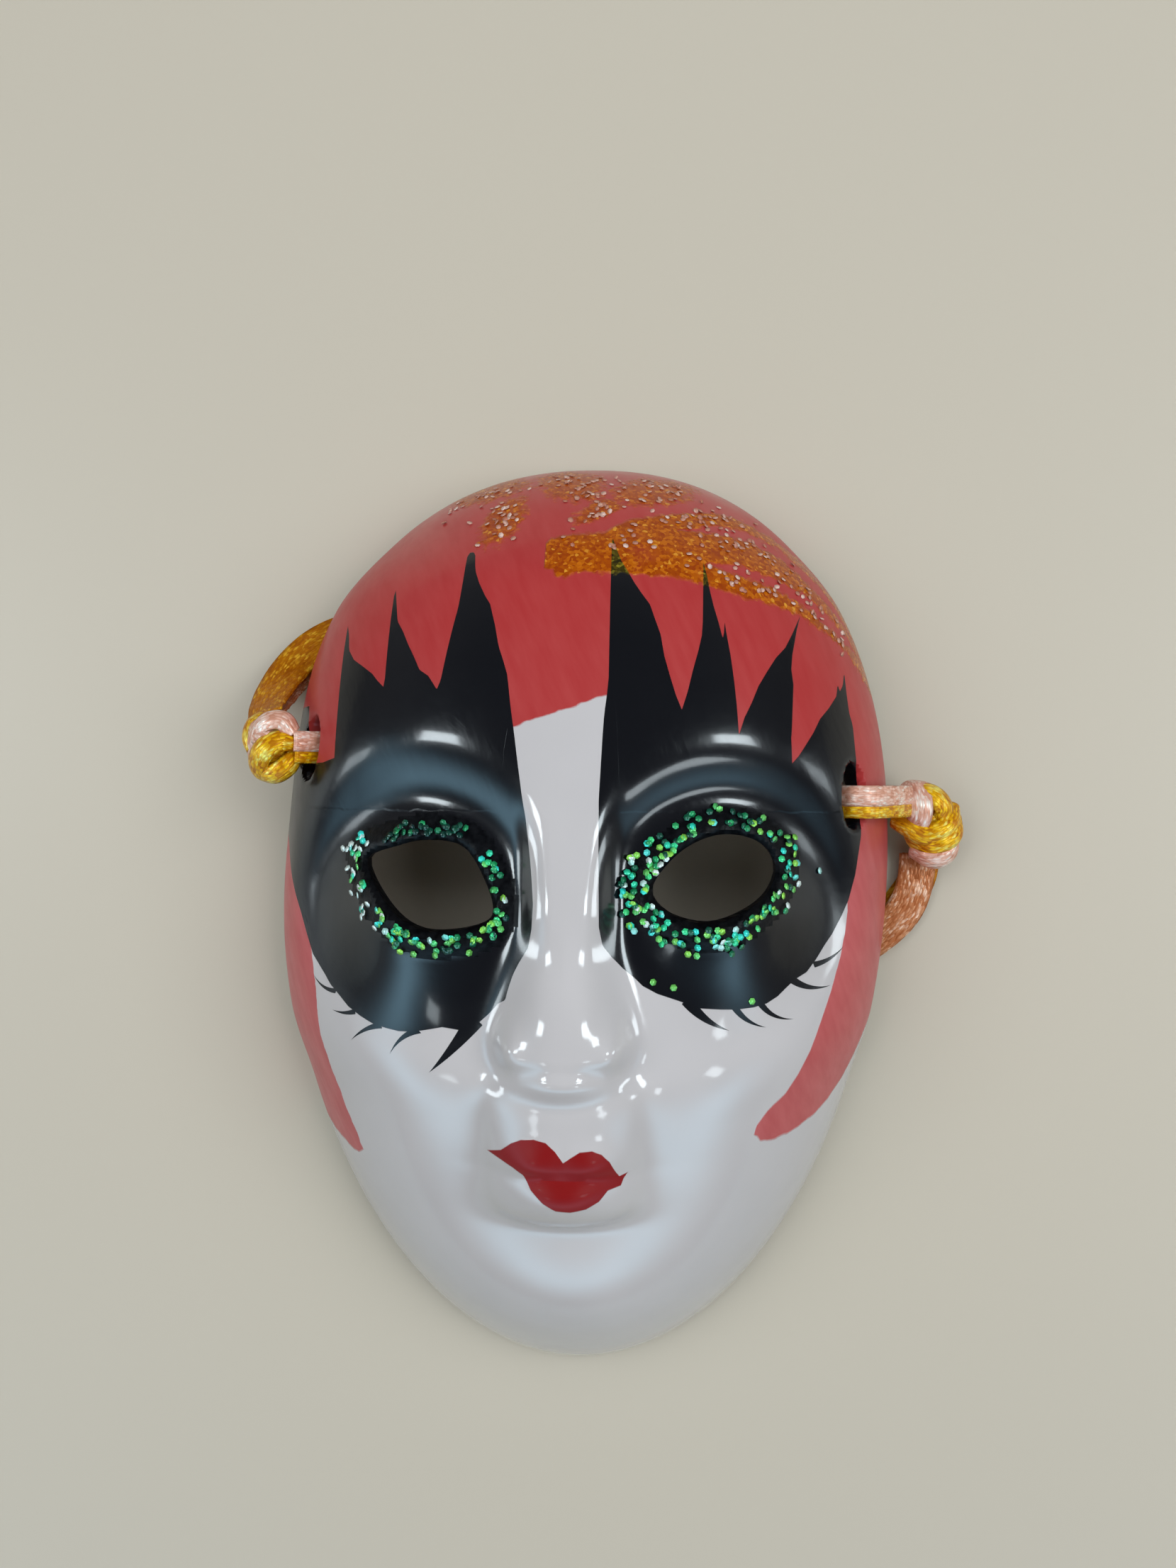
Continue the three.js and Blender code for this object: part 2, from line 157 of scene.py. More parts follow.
GOLD_ROUTE = [
    (0.0477, 0.0087, 0.00055), (0.0475, 0.0064, 0.00055), (0.0466, 0.004, 0.00055),
    (0.0452, 0.002, 0.00055), (0.0439, 0.0001, 0.00055), (0.0425, -0.0016, 0.00055),
    (0.0408, -0.0032, 0.00055), (0.0387, -0.0049, 0.00055), (0.0358, -0.0072, 0.00055),
    (0.0319, -0.01, 0.00055), (0.0272, -0.0122, 0.00055), (0.0206, -0.013, 0.00055),
    (0.011, -0.012, 0.00055), (-0.001, -0.0116, 0.00055), (-0.013, -0.0124, 0.00055),
    (-0.0242, -0.0112, 0.00055), (-0.0319, -0.0066, 0.00055), (-0.0351, 0.0014, 0.00055),
    (-0.0333, 0.0097, 0.00055), (-0.0268, 0.0158, 0.00055), (-0.017, 0.0188, 0.00055),
    (-0.006, 0.019, 0.00055), (0.005, 0.0184, 0.00055), (0.014, 0.0194, 0.00055),
    (0.021, 0.0228, 0.0008), (0.0242, 0.028, 0.0012), (0.0216, 0.0328, 0.0016), (0.0156, 0.036, 0.0017),
    (0.007, 0.0369, 0.0017), (-0.003, 0.0366, 0.0017), (-0.0124, 0.0372, 0.0017),
    (-0.0214, 0.0389, 0.0017), (-0.0296, 0.04, 0.0017), (-0.0338, 0.0394, 0.0017),
    (-0.0373, 0.0378, 0.00175), (-0.0398, 0.0357, 0.0022), (-0.0414, 0.0331, 0.0042),
    (-0.042, 0.0304, 0.0074), (-0.0419, 0.0284, 0.0104), (-0.0415, 0.0272, 0.0127),
]

# Smooth lines and slow starts


def mix(low, high, share):
    return low + (high - low) * share


def ease(value, low, high):
    share = min(1, max(0, (value - low) / (high - low)))
    return share * share * (3 - 2 * share)


def bell(value):
    return math.exp(-value * value)


class Line:
    """A smooth line through points, walked by the share of its length"""

    def __init__(self, points, closed=False, steps=10):
        points = [Vector(p) for p in points]
        last = [] if closed else points[-1:]
        if closed:
            points = [points[-1], *points, *points[:2]]
        else:
            points = [2 * points[0] - points[1], *points, 2 * points[-1] - points[-2]]
        self.points = []
        for a, b, c, d in zip(points, points[1:], points[2:], points[3:]):
            for k in range(steps):
                t = k / steps
                bend = (2 * a - 5 * b + 4 * c - d) * t * t + (3 * b - a - 3 * c + d) * t**3
                self.points.append(0.5 * (2 * b + (c - a) * t + bend))
        self.points += last
        self.marks = [0]
        for p, q in zip(self.points, self.points[1:]):
            self.marks.append(self.marks[-1] + (q - p).length)
        self.length = self.marks[-1]

    def at(self, share):
        """The point there and the way the line runs."""
        reach = min(max(share, 0), 1) * self.length
        i = min(bisect_right(self.marks, reach), len(self.marks) - 1) - 1
        a, b = self.points[i], self.points[i + 1]
        part = (reach - self.marks[i]) / max(1e-9, self.marks[i + 1] - self.marks[i])
        before, after = self.points[max(0, i - 1)], self.points[min(len(self.points) - 1, i + 2)]
        way = (b - before).lerp(after - a, part)
        return a.lerp(b, part), way.normalized()


def add_object(name, data):
    made = bpy.data.objects.new(name, data)
    bpy.context.scene.collection.objects.link(made)
    return made


# The camera

camera = add_object("camera", bpy.data.cameras.new("camera"))
camera.data.lens = 27.03
camera.data.clip_start = 0.01
camera.location = (0.00809, 0.01885, 0.16716)
camera.rotation_euler = [math.radians(turn) for turn in (-0.207, 2.43, 0.344)]
bpy.context.scene.camera = camera

# Finishes


class Socket:
    """A shader socket that takes part in sums: each operator adds the Math node for it."""

    def __init__(self, nodes, socket):
        self.nodes = nodes
        self.socket = socket

    def math(self, operation, *others):
        values = dict(enumerate((self, *others)))
        return self.nodes.node("ShaderNodeMath", {"operation": operation}, values)

    def __add__(self, other):
        return self.math("ADD", other)

    def __sub__(self, other):
        return self.math("SUBTRACT", other)

    def __rsub__(self, other):
        return (self * -1) + other

    def __mul__(self, other):
        return self.math("MULTIPLY", other)

    def __truediv__(self, other):
        return self.math("DIVIDE", other)

    def __pow__(self, other):
        return self.math("POWER", other)

    def __abs__(self):
        return self.math("ABSOLUTE")

    __radd__ = __add__
    __rmul__ = __mul__

    def least(self, other):
        return self.math("MINIMUM", other)

    def most(self, other):
        return self.math("MAXIMUM", other)

    def sharp(self, softness):
        """0 below zero and 1 above it, with a ramp of that width between."""
        inputs = {0: self, 1: -softness / 2, 2: softness / 2, 3: 0.0, 4: 1.0}
        return self.nodes.node("ShaderNodeMapRange", {"clamp": True}, inputs)


class Nodes:
    """A node tree that grows one node at a time"""

    def __init__(self, tree):
        self.tree = tree

    def node(self, kind, settings=None, inputs=None, output=0):
        made = self.tree.nodes.new(kind)
        for label, value in (settings or {}).items():
            if label == "stops":
                self.set_stops(made, value)
            else:
                setattr(made, label, value)
        for label, value in (inputs or {}).items():
            if isinstance(value, Socket):
                self.tree.links.new(value.socket, made.inputs[label])
            else:
                made.inputs[label].default_value = value
        return Socket(self, made.outputs[output])

    @staticmethod
    def set_stops(made, stops):
        """A ramp's colours by place, or a curve's points."""
        if hasattr(made, "color_ramp"):
            ramp = made.color_ramp.elements
            for _ in stops[2:]:
                ramp.new(0.5)
            for element, (place, colour) in zip(ramp, stops):
                element.position = place
                element.color = (*colour, 1)
            return
        curve = made.mapping.curves[0]
        for place, height in stops[2:]:
            curve.points.new(place, height)
        for point, (place, height) in zip(curve.points, sorted(stops)):
            point.location = (place, height)
            point.handle_type = "VECTOR"
        made.mapping.update()

    def parts(self, vector):
        return [self.node("ShaderNodeSeparateXYZ", None, {0: vector}, axis) for axis in range(3)]

    def noise(self, vector, size, detail=2.0, roughness=0.5):
        inputs = {"Vector": vector, "Scale": 1 / size, "Detail": detail, "Roughness": roughness}
        return self.node("ShaderNodeTexNoise", None, inputs)

    def cells(self, vector, size, output="Distance", randomness=1.0):
        inputs = {"Vector": vector, "Scale": 1 / size, "Randomness": randomness}
        return self.node("ShaderNodeTexVoronoi", None, inputs, output)

    def stretched(self, vector, scale, turn=(0, 0, 0), at=(0, 0, 0)):
        inputs = {"Vector": vector, "Location": at, "Rotation": turn, "Scale": scale}
        return self.node("ShaderNodeMapping", {"vector_type": "TEXTURE"}, inputs)

    def streaks(self, vector, scale, detail, turn=0.0):
        """Noise drawn out along one way."""
        return self.noise(self.stretched(vector, scale, (0, 0, turn)), 1.0, detail)

    def blend(self, share, under, over):
        inputs = {0: share, 6: under, 7: over}
        return self.node("ShaderNodeMix", {"data_type": "RGBA"}, inputs, 2)

    def ramp(self, value, stops):
        return self.node("ShaderNodeValToRGB", {"stops": stops}, {0: value})


class Finish(Nodes):
    """One material: its shader's plain settings, and the nodes that vary over the surface"""

    def __init__(self, name, **settings):
        self.material = bpy.data.materials.new(name)
        self.material.use_nodes = True
        super().__init__(self.material.node_tree)
        self.shader = self.tree.nodes["Principled BSDF"]
        for label, value in settings.items():
            self.shader.inputs[label.replace("_", " ")].default_value = value

    def feed(self, **links):
        for label, value in links.items():
            self.tree.links.new(value.socket, self.shader.inputs[label.replace("_", " ")])

    def place(self):
        """Object coordinates in millimetres, as one vector."""
        raw = self.node("ShaderNodeTexCoord", output="Object")
        return self.node("ShaderNodeVectorMath", {"operation": "SCALE"}, {0: raw, "Scale": 1 / MM})

    def bump(self, height):
        """A surface raised by a height in millimetres."""
        return self.node("ShaderNodeBump", None, {"Height": height, "Distance": MM, "Strength": 1.0})


def rgba(colour):
    return (*colour, 1)


# Colours, linear
GLAZE = (0.61, 0.615, 0.64)
CORAL = (0.43, 0.034, 0.035)
CORAL_THIN = (0.47, 0.052, 0.052)
CURL_CORAL = (0.49, 0.085, 0.09)
CURL_CORAL_THIN = (0.56, 0.125, 0.13)
ENAMEL = (0.0035, 0.004, 0.006)
LIP_RED = (0.24, 0.0008, 0.001)
ORANGE = (0.42, 0.085, 0.0005)
ORANGE_DEEP = (0.32, 0.045, 0.001)
ORANGE_GRAIN = (0.58, 0.16, 0.004)
GOLD_GRAIN = (0.74, 0.34, 0.03)
OLIVE = (0.09, 0.07, 0.004)
OLIVE_DEEP = (0.02, 0.016, 0.002)
OLIVE_GRAIN = (0.28, 0.24, 0.02)
CLAY_SPECK = (0.10, 0.09, 0.08)
LAMINATE = (0.585, 0.56, 0.475)
GRAIN_SIZE = 0.42
SPECK_SPACING = 15.0

# Each satin, as painted light and shade: painted shade in the folds, in shade, in light, and a painted
# glint where a float of thread glints. What hangs lies one ribbon over the other, so its pink looks peach
# and its gold looks orange; the hanging satins are also darker all over, which is painted shade.
SATINS = {
    "gold_satin": [(0.46, 0.15, 0.001), (0.78, 0.38, 0.002), (1.0, 0.64, 0.006), (1.0, 0.92, 0.2)],
    "pink_satin": [(0.62, 0.28, 0.18), (0.86, 0.50, 0.39), (0.98, 0.72, 0.62), (1.0, 0.96, 0.90)],
    "orange_satin": [(0.38, 0.11, 0.0005), (0.50, 0.17, 0.001), (0.60, 0.24, 0.002), (0.85, 0.50, 0.03)],
    "peach_satin": [(0.40, 0.12, 0.035), (0.54, 0.20, 0.075), (0.66, 0.31, 0.15), (0.95, 0.68, 0.50)],
}


def satin(name):
    """Shiny ribbon: floats of thread in short rows, seen through the strip's own UV map in millimetres."""
    finish = Finish(name, Metallic=0.2, Specular_IOR_Level=0.2)
    fold, shade, light, glint = SATINS[name]
    strip = finish.node("ShaderNodeUVMap", {"uv_map": "strip"})
    rows = finish.stretched(strip, (0.75, 0.27, 1))
    floats = finish.cells(rows, 1.0, randomness=0.8)
    chance = finish.node("ShaderNodeSeparateColor", None, {0: finish.cells(rows, 1.0, "Color", 0.8)})
    threads = finish.streaks(strip, (2.4, 0.07, 1), 2.0)
    folds = finish.streaks(strip, (3.4, 1.6, 1), 2.0)
    # Painted light: the ramp paints shade into the folds and glints onto the floats, and the floats' edges
    # get the painted fold shade
    lit = (folds - 0.5) * 1.2 + (chance - 0.5) * 0.62 + 0.48
    tone = finish.ramp(lit, [(0.1, fold), (0.38, shade), (0.62, light), (0.84, glint)])
    tone = finish.blend((floats * 1.3 - 0.35).least(0.5).most(0), tone, rgba(fold))
    crown = (1 - floats.least(1)) * 0.09 + threads * 0.02 + folds * 0.2
    finish.feed(Base_Color=tone, Normal=finish.bump(crown), Roughness=threads * 0.2 + 0.2)
    return finish.material


gold_satin = satin("gold_satin")
pink_satin = satin("pink_satin")

# Pieces


def new_piece(mesh, name, materials, replaces=()):
    """Ends a mesh made in millimetres: a named piece in metres that rides with the part."""
    bmesh.ops.scale(mesh, vec=(MM, MM, MM), verts=mesh.verts)
    for face in mesh.faces:
        face.smooth = True
    data = bpy.data.meshes.new(name)
    mesh.to_mesh(data)
    mesh.free()
    piece = add_object(name, data)
    for material in materials:
        data.materials.append(material)
    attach(piece, "root")
    if replaces:
        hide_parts(*replaces)
    return piece


def add_strip(mesh, line, width, facing, cup=0.0, step=0.5, roll=None, taper=0.0):
    """Lays a flat ribbon along a line. facing gives the way its face looks at a share of the line."""
    uv = mesh.loops.layers.uv.get("strip") or mesh.loops.layers.uv.new("strip")
    columns = max(8, round(line.length / step))
    verts = bmesh.ops.create_grid(mesh, x_segments=columns, y_segments=8, size=1)["verts"]
    for face in {face for vert in verts for face in vert.link_faces}:
        for loop in face.loops:
            flat = loop.vert.co
            loop[uv].uv = ((flat.x + 1) * line.length / 2, flat.y * width / 2)
    for vert in verts:
        share, across = (vert.co.x + 1) / 2, vert.co.y
        point, way = line.at(share)
        side = way.cross(facing(share, point)).normalized()
        face_way = side.cross(way).normalized()
        if roll:
            turn = Matrix.Rotation(roll(share), 3, way)
            side, face_way = turn @ side, turn @ face_way
        narrow = 1 - taper * abs(2 * share - 1) ** 4
        crown = cup * (1 - across * across)
        vert.co = point + side * (across * width * narrow / 2) + face_way * crown
    return verts


def ribbon_piece(mesh, name, material, node):
    piece = new_piece(mesh, name, [material], [node])
    wall = piece.modifiers.new("thickness", "SOLIDIFY")
    wall.thickness = RIBBON_THICKNESS * MM
    wall.offset = 0
    return piece


# The hanging ribbons: loose, a little wavy, turned on edge where they climb to the left knot
WAVES = [(0.10, 30, 1), (0.06, 71, 2)]  # roll in radians, pace along the ribbon, share of its phase
CLIMB = (0.9, 0.96)


def lay_ribbon(name, node, material, route, phase):
    line = Line([Vector(p) / MM for p in route])
    mesh = bmesh.new()

    def roll(share):
        wave = sum(tilt * math.sin(pace * share + start * phase) for tilt, pace, start in WAVES)
        return wave * (1 - ease(share, *CLIMB))

    add_strip(mesh, line, RIBBON_WIDTH, lambda share, point: UP, cup=0.12, roll=roll)
    return ribbon_piece(mesh, name, material, node), line


gold_ribbon, gold_line = lay_ribbon("hanging_gold", "gold_ribbon", satin("orange_satin"), GOLD_ROUTE, 0.4)
pink_ribbon, pink_line = lay_ribbon("hanging_pink", "pink_ribbon", satin("peach_satin"), PINK_ROUTE, 2.1)

# Ties: both ribbons side by side round the strip of rim between slit and edge

TIES = {
    "left_tie": dict(
        side=-1, foot=41.6, y=22.8,
        loop=[
            (-5.5, 17.7), (-6.4, 17), (-7.4, 16), (-8.7, 14.8), (-9.8, 13.3), (-9.9, 11.6),
            (-9.1, 9.6), (-8.3, 7.4), (-7.6, 5.1), (-6.5, 3), (-4.4, 1.75), (-1.8, 1.6),
            (-0.2, 1.9), (0.7, 3.1), (0.9, 5.1), (0.6, 7.2), (0.2, 9.2), (0, 10.4),
        ],
    ),
    "right_tie": dict(
        side=1, foot=42.5, y=16.2,
        loop=[
            (2.1, 8), (1, 9.9), (-0.4, 12.2), (-2, 14.4), (-3.7, 16.2), (-5.4, 17.3), (-7, 17.1),
            (-8.5, 15.8), (-9.4, 14), (-9.1, 11.8), (-8.2, 9.6), (-7.2, 7.4), (-6.2, 5.2),
            (-5.1, 3.3), (-3.6, 2.1), (-1.9, 1.75), (-0.3, 1.7), (1.1, 1.8),
        ],
    ),
}


def make_tie(name, colour, material, shift_y, lift, side, foot, y, loop):
    line = Line([(side * (foot + out), y + shift_y, z + lift) for out, z in loop])
    mesh = bmesh.new()

    def outward(share, point):
        way = line.at(share)[1]
        return Vector((way.z, 0, -way.x)) * side

    add_strip(mesh, line, TIE_RIBBON_WIDTH, outward, cup=0.25, step=0.4)
    return ribbon_piece(mesh, f"{name}_{colour}", material, name)


ties = []
for name, tie in TIES.items():
    ties.append(make_tie(name, "pink", pink_satin, TIE_SHIFT, 0.2, **tie))
    ties.append(make_tie(name, "gold", gold_satin, -TIE_SHIFT, -0.15, **tie))

# Knots: each is a few turns of ribbon wound round a middle

# Each wrap: the ribbon's width there and the points it passes
KNOTS = {
    "left_knot": dict(
        middle=(-39.1, 22.4, 15), core=(2.6, 3.2, 2.5),
        pink=[
            (3, [(-36.3, 24.6, 17.2), (-37.6, 26.2, 17.9), (-39.9, 25.9, 17.7), (-41.5, 24.2, 16.4),
                 (-42.1, 22, 15.1), (-41.9, 20.2, 13.8)]),
            (2.6, [(-41.9, 26.2, 11.8), (-42.2, 25.6, 14.2), (-41, 24.4, 16.8), (-39.2, 23.8, 18.2),
                   (-37.2, 23.3, 17.6)]),
        ],
        gold=[
            (3, [(-36.1, 23.4, 16.8), (-37.6, 23.6, 18.2), (-39.4, 22.6, 18.7), (-40.8, 20.9, 17.4),
                 (-41.3, 19.5, 15.2), (-40.6, 18.9, 13.2)]),
            (2.8, [(-36.3, 21.8, 16.2), (-37.1, 20.4, 17.2), (-38.6, 19.4, 17), (-40.2, 19.2, 15.8),
                   (-41.2, 20.2, 14.2)]),
            (2.6, [(-42.1, 26.9, 11.9), (-42.9, 25.9, 13.6), (-42.9, 24.2, 14.9), (-42.2, 22.4, 15.4)]),
        ],
    ),
    "right_knot": dict(
        middle=(47.5, 12.9, 4.6), core=(3.2, 4.2, 2.7),
        pink=[
            (4.4, [(45.1, 18.2, 4.2), (45.1, 17.6, 6.8), (45.2, 16, 7.9), (45.3, 14.4, 7.7),
                   (45.4, 13.2, 6)]),
            (3.6, [(51.3, 11.6, 3.4), (50.9, 9.6, 5), (49.4, 8.3, 5.7), (47.4, 8.2, 5.4),
                   (45.8, 9.2, 3.8)]),
        ],
        gold=[
            (3.2, [(43.8, 16.2, 5.6), (44.8, 17.3, 6.6), (46.6, 17.4, 7.3), (48.2, 16.6, 7.5),
                   (49.1, 15.2, 7.2), (48.9, 13.8, 6.6)]),
            (3.1, [(51.1, 15.4, 4.6), (50.4, 13.7, 6.5), (48.7, 12.2, 7.5), (46.6, 11.8, 7.3),
                   (44.4, 13, 6.4), (42.9, 13.7, 5.2)]),
            (3, [(51.6, 14, 3.8), (51.2, 11.9, 5.8), (49.6, 10.6, 6.9), (47.7, 10, 6.7),
                 (46, 10.8, 5.4)]),
        ],
    ),
}
KNOT_CUP = 0.7


def add_core(mesh, middle, size):
    """The folded middle of a knot, mostly hidden by its wraps."""
    uv = mesh.loops.layers.uv.get("strip")
    verts = bmesh.ops.create_icosphere(mesh, subdivisions=3, radius=1)["verts"]
    for vert in verts:
        vert.co = Vector(middle) + Vector(part * reach for part, reach in zip(vert.co, size))
    for face in {face for vert in verts for face in vert.link_faces}:
        for loop in face.loops:
            loop[uv].uv = (loop.vert.co.x, loop.vert.co.y + loop.vert.co.z)


def make_knot(name, colour, material, middle, wraps, core=None):
    mesh = bmesh.new()
    heart = Vector(middle) - UP * KNOT_CUP * 4

    def outward(share, point):
        return point - heart

    for width, path in wraps:
        add_strip(mesh, Line(path), width, outward, cup=KNOT_CUP, step=0.25, taper=0.3)
    if core:
        add_core(mesh, middle, core)
    return ribbon_piece(mesh, f"{name}_{colour}", material, name)


knots = []
for name, knot in KNOTS.items():
    knots.append(make_knot(name, "pink", pink_satin, knot["middle"], knot["pink"]))
    knots.append(make_knot(name, "gold", gold_satin, knot["middle"], knot["gold"], knot["core"]))

for ribbon, line, going_with in ((gold_ribbon, gold_line, ties + knots), (pink_ribbon, pink_line, [])):
    line.points[0] * MM
    [p * MM for p in line.points]

# The form of the face


def away(x, y, form):
    """How far from a form's middle a place is, in shares of the form's size."""
    side = abs(x) - form.x if form.x else x
    return math.hypot(side / form.half_width, (y - form.y) / form.half_height)


def mound(x, y, form):
    return form.rise * bell(away(x, y, form))


def eye_form(x, y):
    out = away(x, y, SOCKET)
    deep = mix(SOCKET_LEAST, 1, ease(y, *SOCKET_FADE))
    lid = EYELID_RISE * mix(EYELID_LEAST, 1, deep) * max(0, 1 - (out / EYELID_REACH) ** 2) ** 2
    start = mix(1, ease(abs(x), *BESIDE_NOSE), ease(y, *BESIDE_NOSE_FADE))
    return lid + SOCKET.rise * deep * start * math.exp(-((out / SOCKET_WALL) ** 5))


def nose_form(x, y):
    top, tip = NOSE_LINE
    down = min(1, max(0, (top - y) / (top - tip)))
    spread = 1 - ease(y, *NOSE_SPREAD)
    across = math.exp(-((abs(x) / mix(*NOSE_HALF_WIDTH, spread)) ** mix(*NOSE_POWER, spread)))
    bridge = mix(*NOSE_RISE, down**1.2) * across * (1 - ease(y, *BRIDGE_FADE))
    foot = NOSE_FOOT + NOSE_FOOT_CURVE * x * x
    above = ease(y, foot, foot + NOSE_FOOT_FALL)
    return (bridge + mound(x, y, NOSE_TIP) + mound(x, y, NOSTRIL)) * above


def mouth_form(x, y):
    left = 1 - (x / MUZZLE.half_width) ** 2 - ((y - MUZZLE.y) / MUZZLE.half_height) ** 6
    full = left if left > MUZZLE_HEM else MUZZLE_HEM * math.exp(left / MUZZLE_HEM - 1)
    lips = mound(x, y, UPPER_LIP) + mound(x, y, LOWER_LIP) + mound(x, y, LIP_PARTING)
    return MUZZLE.rise * full**0.7 + lips


def relief(x, y):
    middle = x - FACE_X
    swells = mound(x, y, CHIN) + mound(x, y, CHEEK)
    return eye_form(x, y) + nose_form(middle, y) + mouth_form(middle, y) + swells


def lean(y):
    return CROWN_LEAN * max(0, y / (LENGTH / 2)) ** 2


def pressed(x, y):
    """What is left of a width there after the left side is pressed flat."""
    return 1 - FLAT_SIDE["depth"] * bell((y - FLAT_SIDE["y"]) / FLAT_SIDE["reach"]) if x < 0 else 1


def half_length(dy):
    """From the widest place to the crown or to the chin."""
    return LENGTH / 2 + (-WIDEST_Y if dy >= 0 else WIDEST_Y)


def outline_radius(dx, dy, inset=0.0):
    reach = math.hypot(dx, dy) or 1
    power = CROWN_POWER if dy >= 0 else CHIN_POWER
    across = abs(dx / reach / (HALF_WIDTH - inset)) ** power
    along = abs(dy / reach / (half_length(dy) - inset)) ** power
    return (across + along or 1) ** (-1 / power)


def arch(y):
    """How high the rim's underside is, lifted at the temples where the ribbons pass."""
    return ARCH_HEIGHT * ease(y, *ARCH_START) * (1 - ease(y, *ARCH_END))


def lifted(height, y):
    return arch(y) + height * (1 - arch(y) / DOME_HEIGHT)


def profile(share):
    return max(0, 1 - (DOME_REACH * min(1, share)) ** DOME_POWER) ** (1 / DOME_ROOT)


def outline_share(flat, y, inset=0.0):
    """0 over the middle of the dome, 1 at the outline."""
    full = flat / pressed(flat, y)
    return math.hypot(full, y - WIDEST_Y) / outline_radius(full, y - WIDEST_Y, inset)


def skin_height(x, y, inset, top, share_of_relief, fade):
    """Height of the face, or of the hollow behind it, over a place that includes the lean."""
    flat = x - lean(y)
    share = outline_share(flat, y, inset)
    dome = top * (profile(share) - profile(1)) / (1 - profile(1))
    eased = share_of_relief * (1 - ease(share, *fade))
    return lifted(EDGE_HEIGHT + dome + relief(flat, y) * eased, y)


def face_height(x, y):
    return skin_height(x, y, 0, DOME_HEIGHT, 1, FACE_FADE)


def hollow_height(x, y):
    return skin_height(x, y, WALL, DOME_HEIGHT - CROWN_WALL, INNER_RELIEF, HOLLOW_FADE)


def face_normal(x, y, step=0.3):
    slope_x = (face_height(x + step, y) - face_height(x - step, y)) / (2 * step)
    slope_y = (face_height(x, y + step) - face_height(x, y - step)) / (2 * step)
    return Vector((-slope_x, -slope_y, 1)).normalized()


# Holes


class Hole:
    """An opening through the wall, by its outline in a plane that looks outward"""

    def __init__(self, outline, middle=Vector(), outward=UP):
        self.outline = outline
        self.middle = middle
        self.outward = outward
        self.across = Vector((0, 1, 0)).cross(outward).normalized()
        self.along = outward.cross(self.across)
        self.heart = sum(outline, Vector((0, 0))) / len(outline)
        self.reach = max((p - self.heart).length for p in outline)

    def flat(self, point):
        offset = point - self.middle
        return Vector((offset.dot(self.across), offset.dot(self.along)))

    def depth(self, point):
        """How deep along its axis a point lies."""
        return abs((point - self.middle).dot(self.outward))

    def gap(self, place):
        """Distance to the outline, below zero inside it, and the nearest place on the outline."""
        nearest, inside = None, False
        least = math.inf
        for a, b in zip(self.outline, self.outline[1:] + self.outline[:1]):
            edge = b - a
            share = min(1, max(0, (place - a).dot(edge) / edge.length_squared))
            foot = a + edge * share
            if (place - foot).length_squared < least:
                least = (place - foot).length_squared
                nearest = foot
            if (a.y > place.y) != (b.y > place.y):
                if place.x < a.x + edge.x * (place.y - a.y) / edge.y:
                    inside = not inside
        return (-1 if inside else 1) * math.sqrt(least), nearest

    def clear(self, point):
        """How far outside the outline a point on the skin is."""
        return self.gap(self.flat(point))[0]

    def near(self, point, room):
        close = (self.flat(point) - self.heart).length < self.reach + room
        return close and (self.outward is UP or self.depth(point) < 3 * WALL)


def eye_hole(points):
    loop = Line([(*point, 0) for point in points], closed=True).points
    return Hole([Vector((p.x, p.y)) for p in loop])


def slit(x, y):
    steps = 48
    turns = [2 * math.pi * i / steps for i in range(steps)]
    ring = [Vector((math.cos(t) * SLIT_HEIGHT / 2, math.sin(t) * SLIT_LENGTH / 2)) for t in turns]
    return Hole(ring, Vector((x, y, face_height(x, y))), face_normal(x, y, 0.5))


EYES = [eye_hole(LEFT_EYE), eye_hole(RIGHT_EYE)]
HOLES = EYES + [slit(x, y) for x, y in SLITS]

# The shell


def lay_skin(shell, grid, inset, height):
    """One side of the wall: a square grid drawn out to the outline and raised."""
    made = bmesh.ops.create_grid(shell, x_segments=grid[0], y_segments=grid[1], size=1)
    for vert in made["verts"]:
        u, v = vert.co.x, vert.co.y
        dx, dy = u * math.sqrt(1 - v * v / 2), v * math.sqrt(1 - u * u / 2)
        ring = min(1, math.hypot(dx, dy))
        out = mix(math.sin(ring * math.pi / 2), ring, GRID_EVENNESS)
        way = Vector((dx * HALF_WIDTH, dy * half_length(dy)))
        if way.length:
            way *= out * outline_radius(way.x, way.y, inset) / way.length
        y = WIDEST_Y + way.y
        x = way.x * pressed(way.x, y) + lean(y)
        vert.co = (x, y, height(x, y))
    return made["verts"]


def open_edges(verts):
    return [e for e in {e for v in verts for e in v.link_edges} if e.is_boundary]


def open_hole(shell, skin, hole, height, rounding, glue):
    """Cuts a hole in one side of the wall and rounds its edge over; gives the edge."""
    near = [v for v in skin if v.is_valid and hole.near(v.co, AROUND_HOLE)]
    faces = {face for v in near for face in v.link_faces}
    doomed = [f for f in faces if hole.clear(f.calc_center_median()) < 0]
    bmesh.ops.delete(shell, geom=doomed, context="FACES")
    near = [v for v in near if v.is_valid]
    edge = [v for v in near if v.is_boundary]
    for vert in edge:
        place = hole.flat(vert.co)
        shift = hole.gap(place)[1] - place
        vert.co += hole.across * shift.x + hole.along * shift.y
        vert.co.z = height(vert.co.x, vert.co.y)
    band = [v for v in near if not v.is_boundary and hole.clear(v.co) < SMOOTHED_BAND]
    for _ in range(SMOOTHING_ROUNDS):
        bmesh.ops.smooth_vert(shell, verts=band, factor=0.5, use_axis_x=True, use_axis_y=True)
        for vert in band:
            vert.co.z = height(vert.co.x, vert.co.y)
    lumps = Random(7)
    for vert in near:
        gap = max(0, hole.clear(vert.co))
        fall = max(0, abs(rounding) - gap)
        drop = abs(rounding) - math.sqrt(rounding * rounding - fall * fall)
        bead = glue * ease(gap, *GLUE_START) * (1 - ease(gap, *GLUE_END))
        bead *= lumps.uniform(*GLUE_LUMPS)
        vert.co += hole.outward * (bead - math.copysign(drop, rounding))
    return open_edges(edge)


def only(kind, parts):
    return [part for part in parts if isinstance(part, kind)]


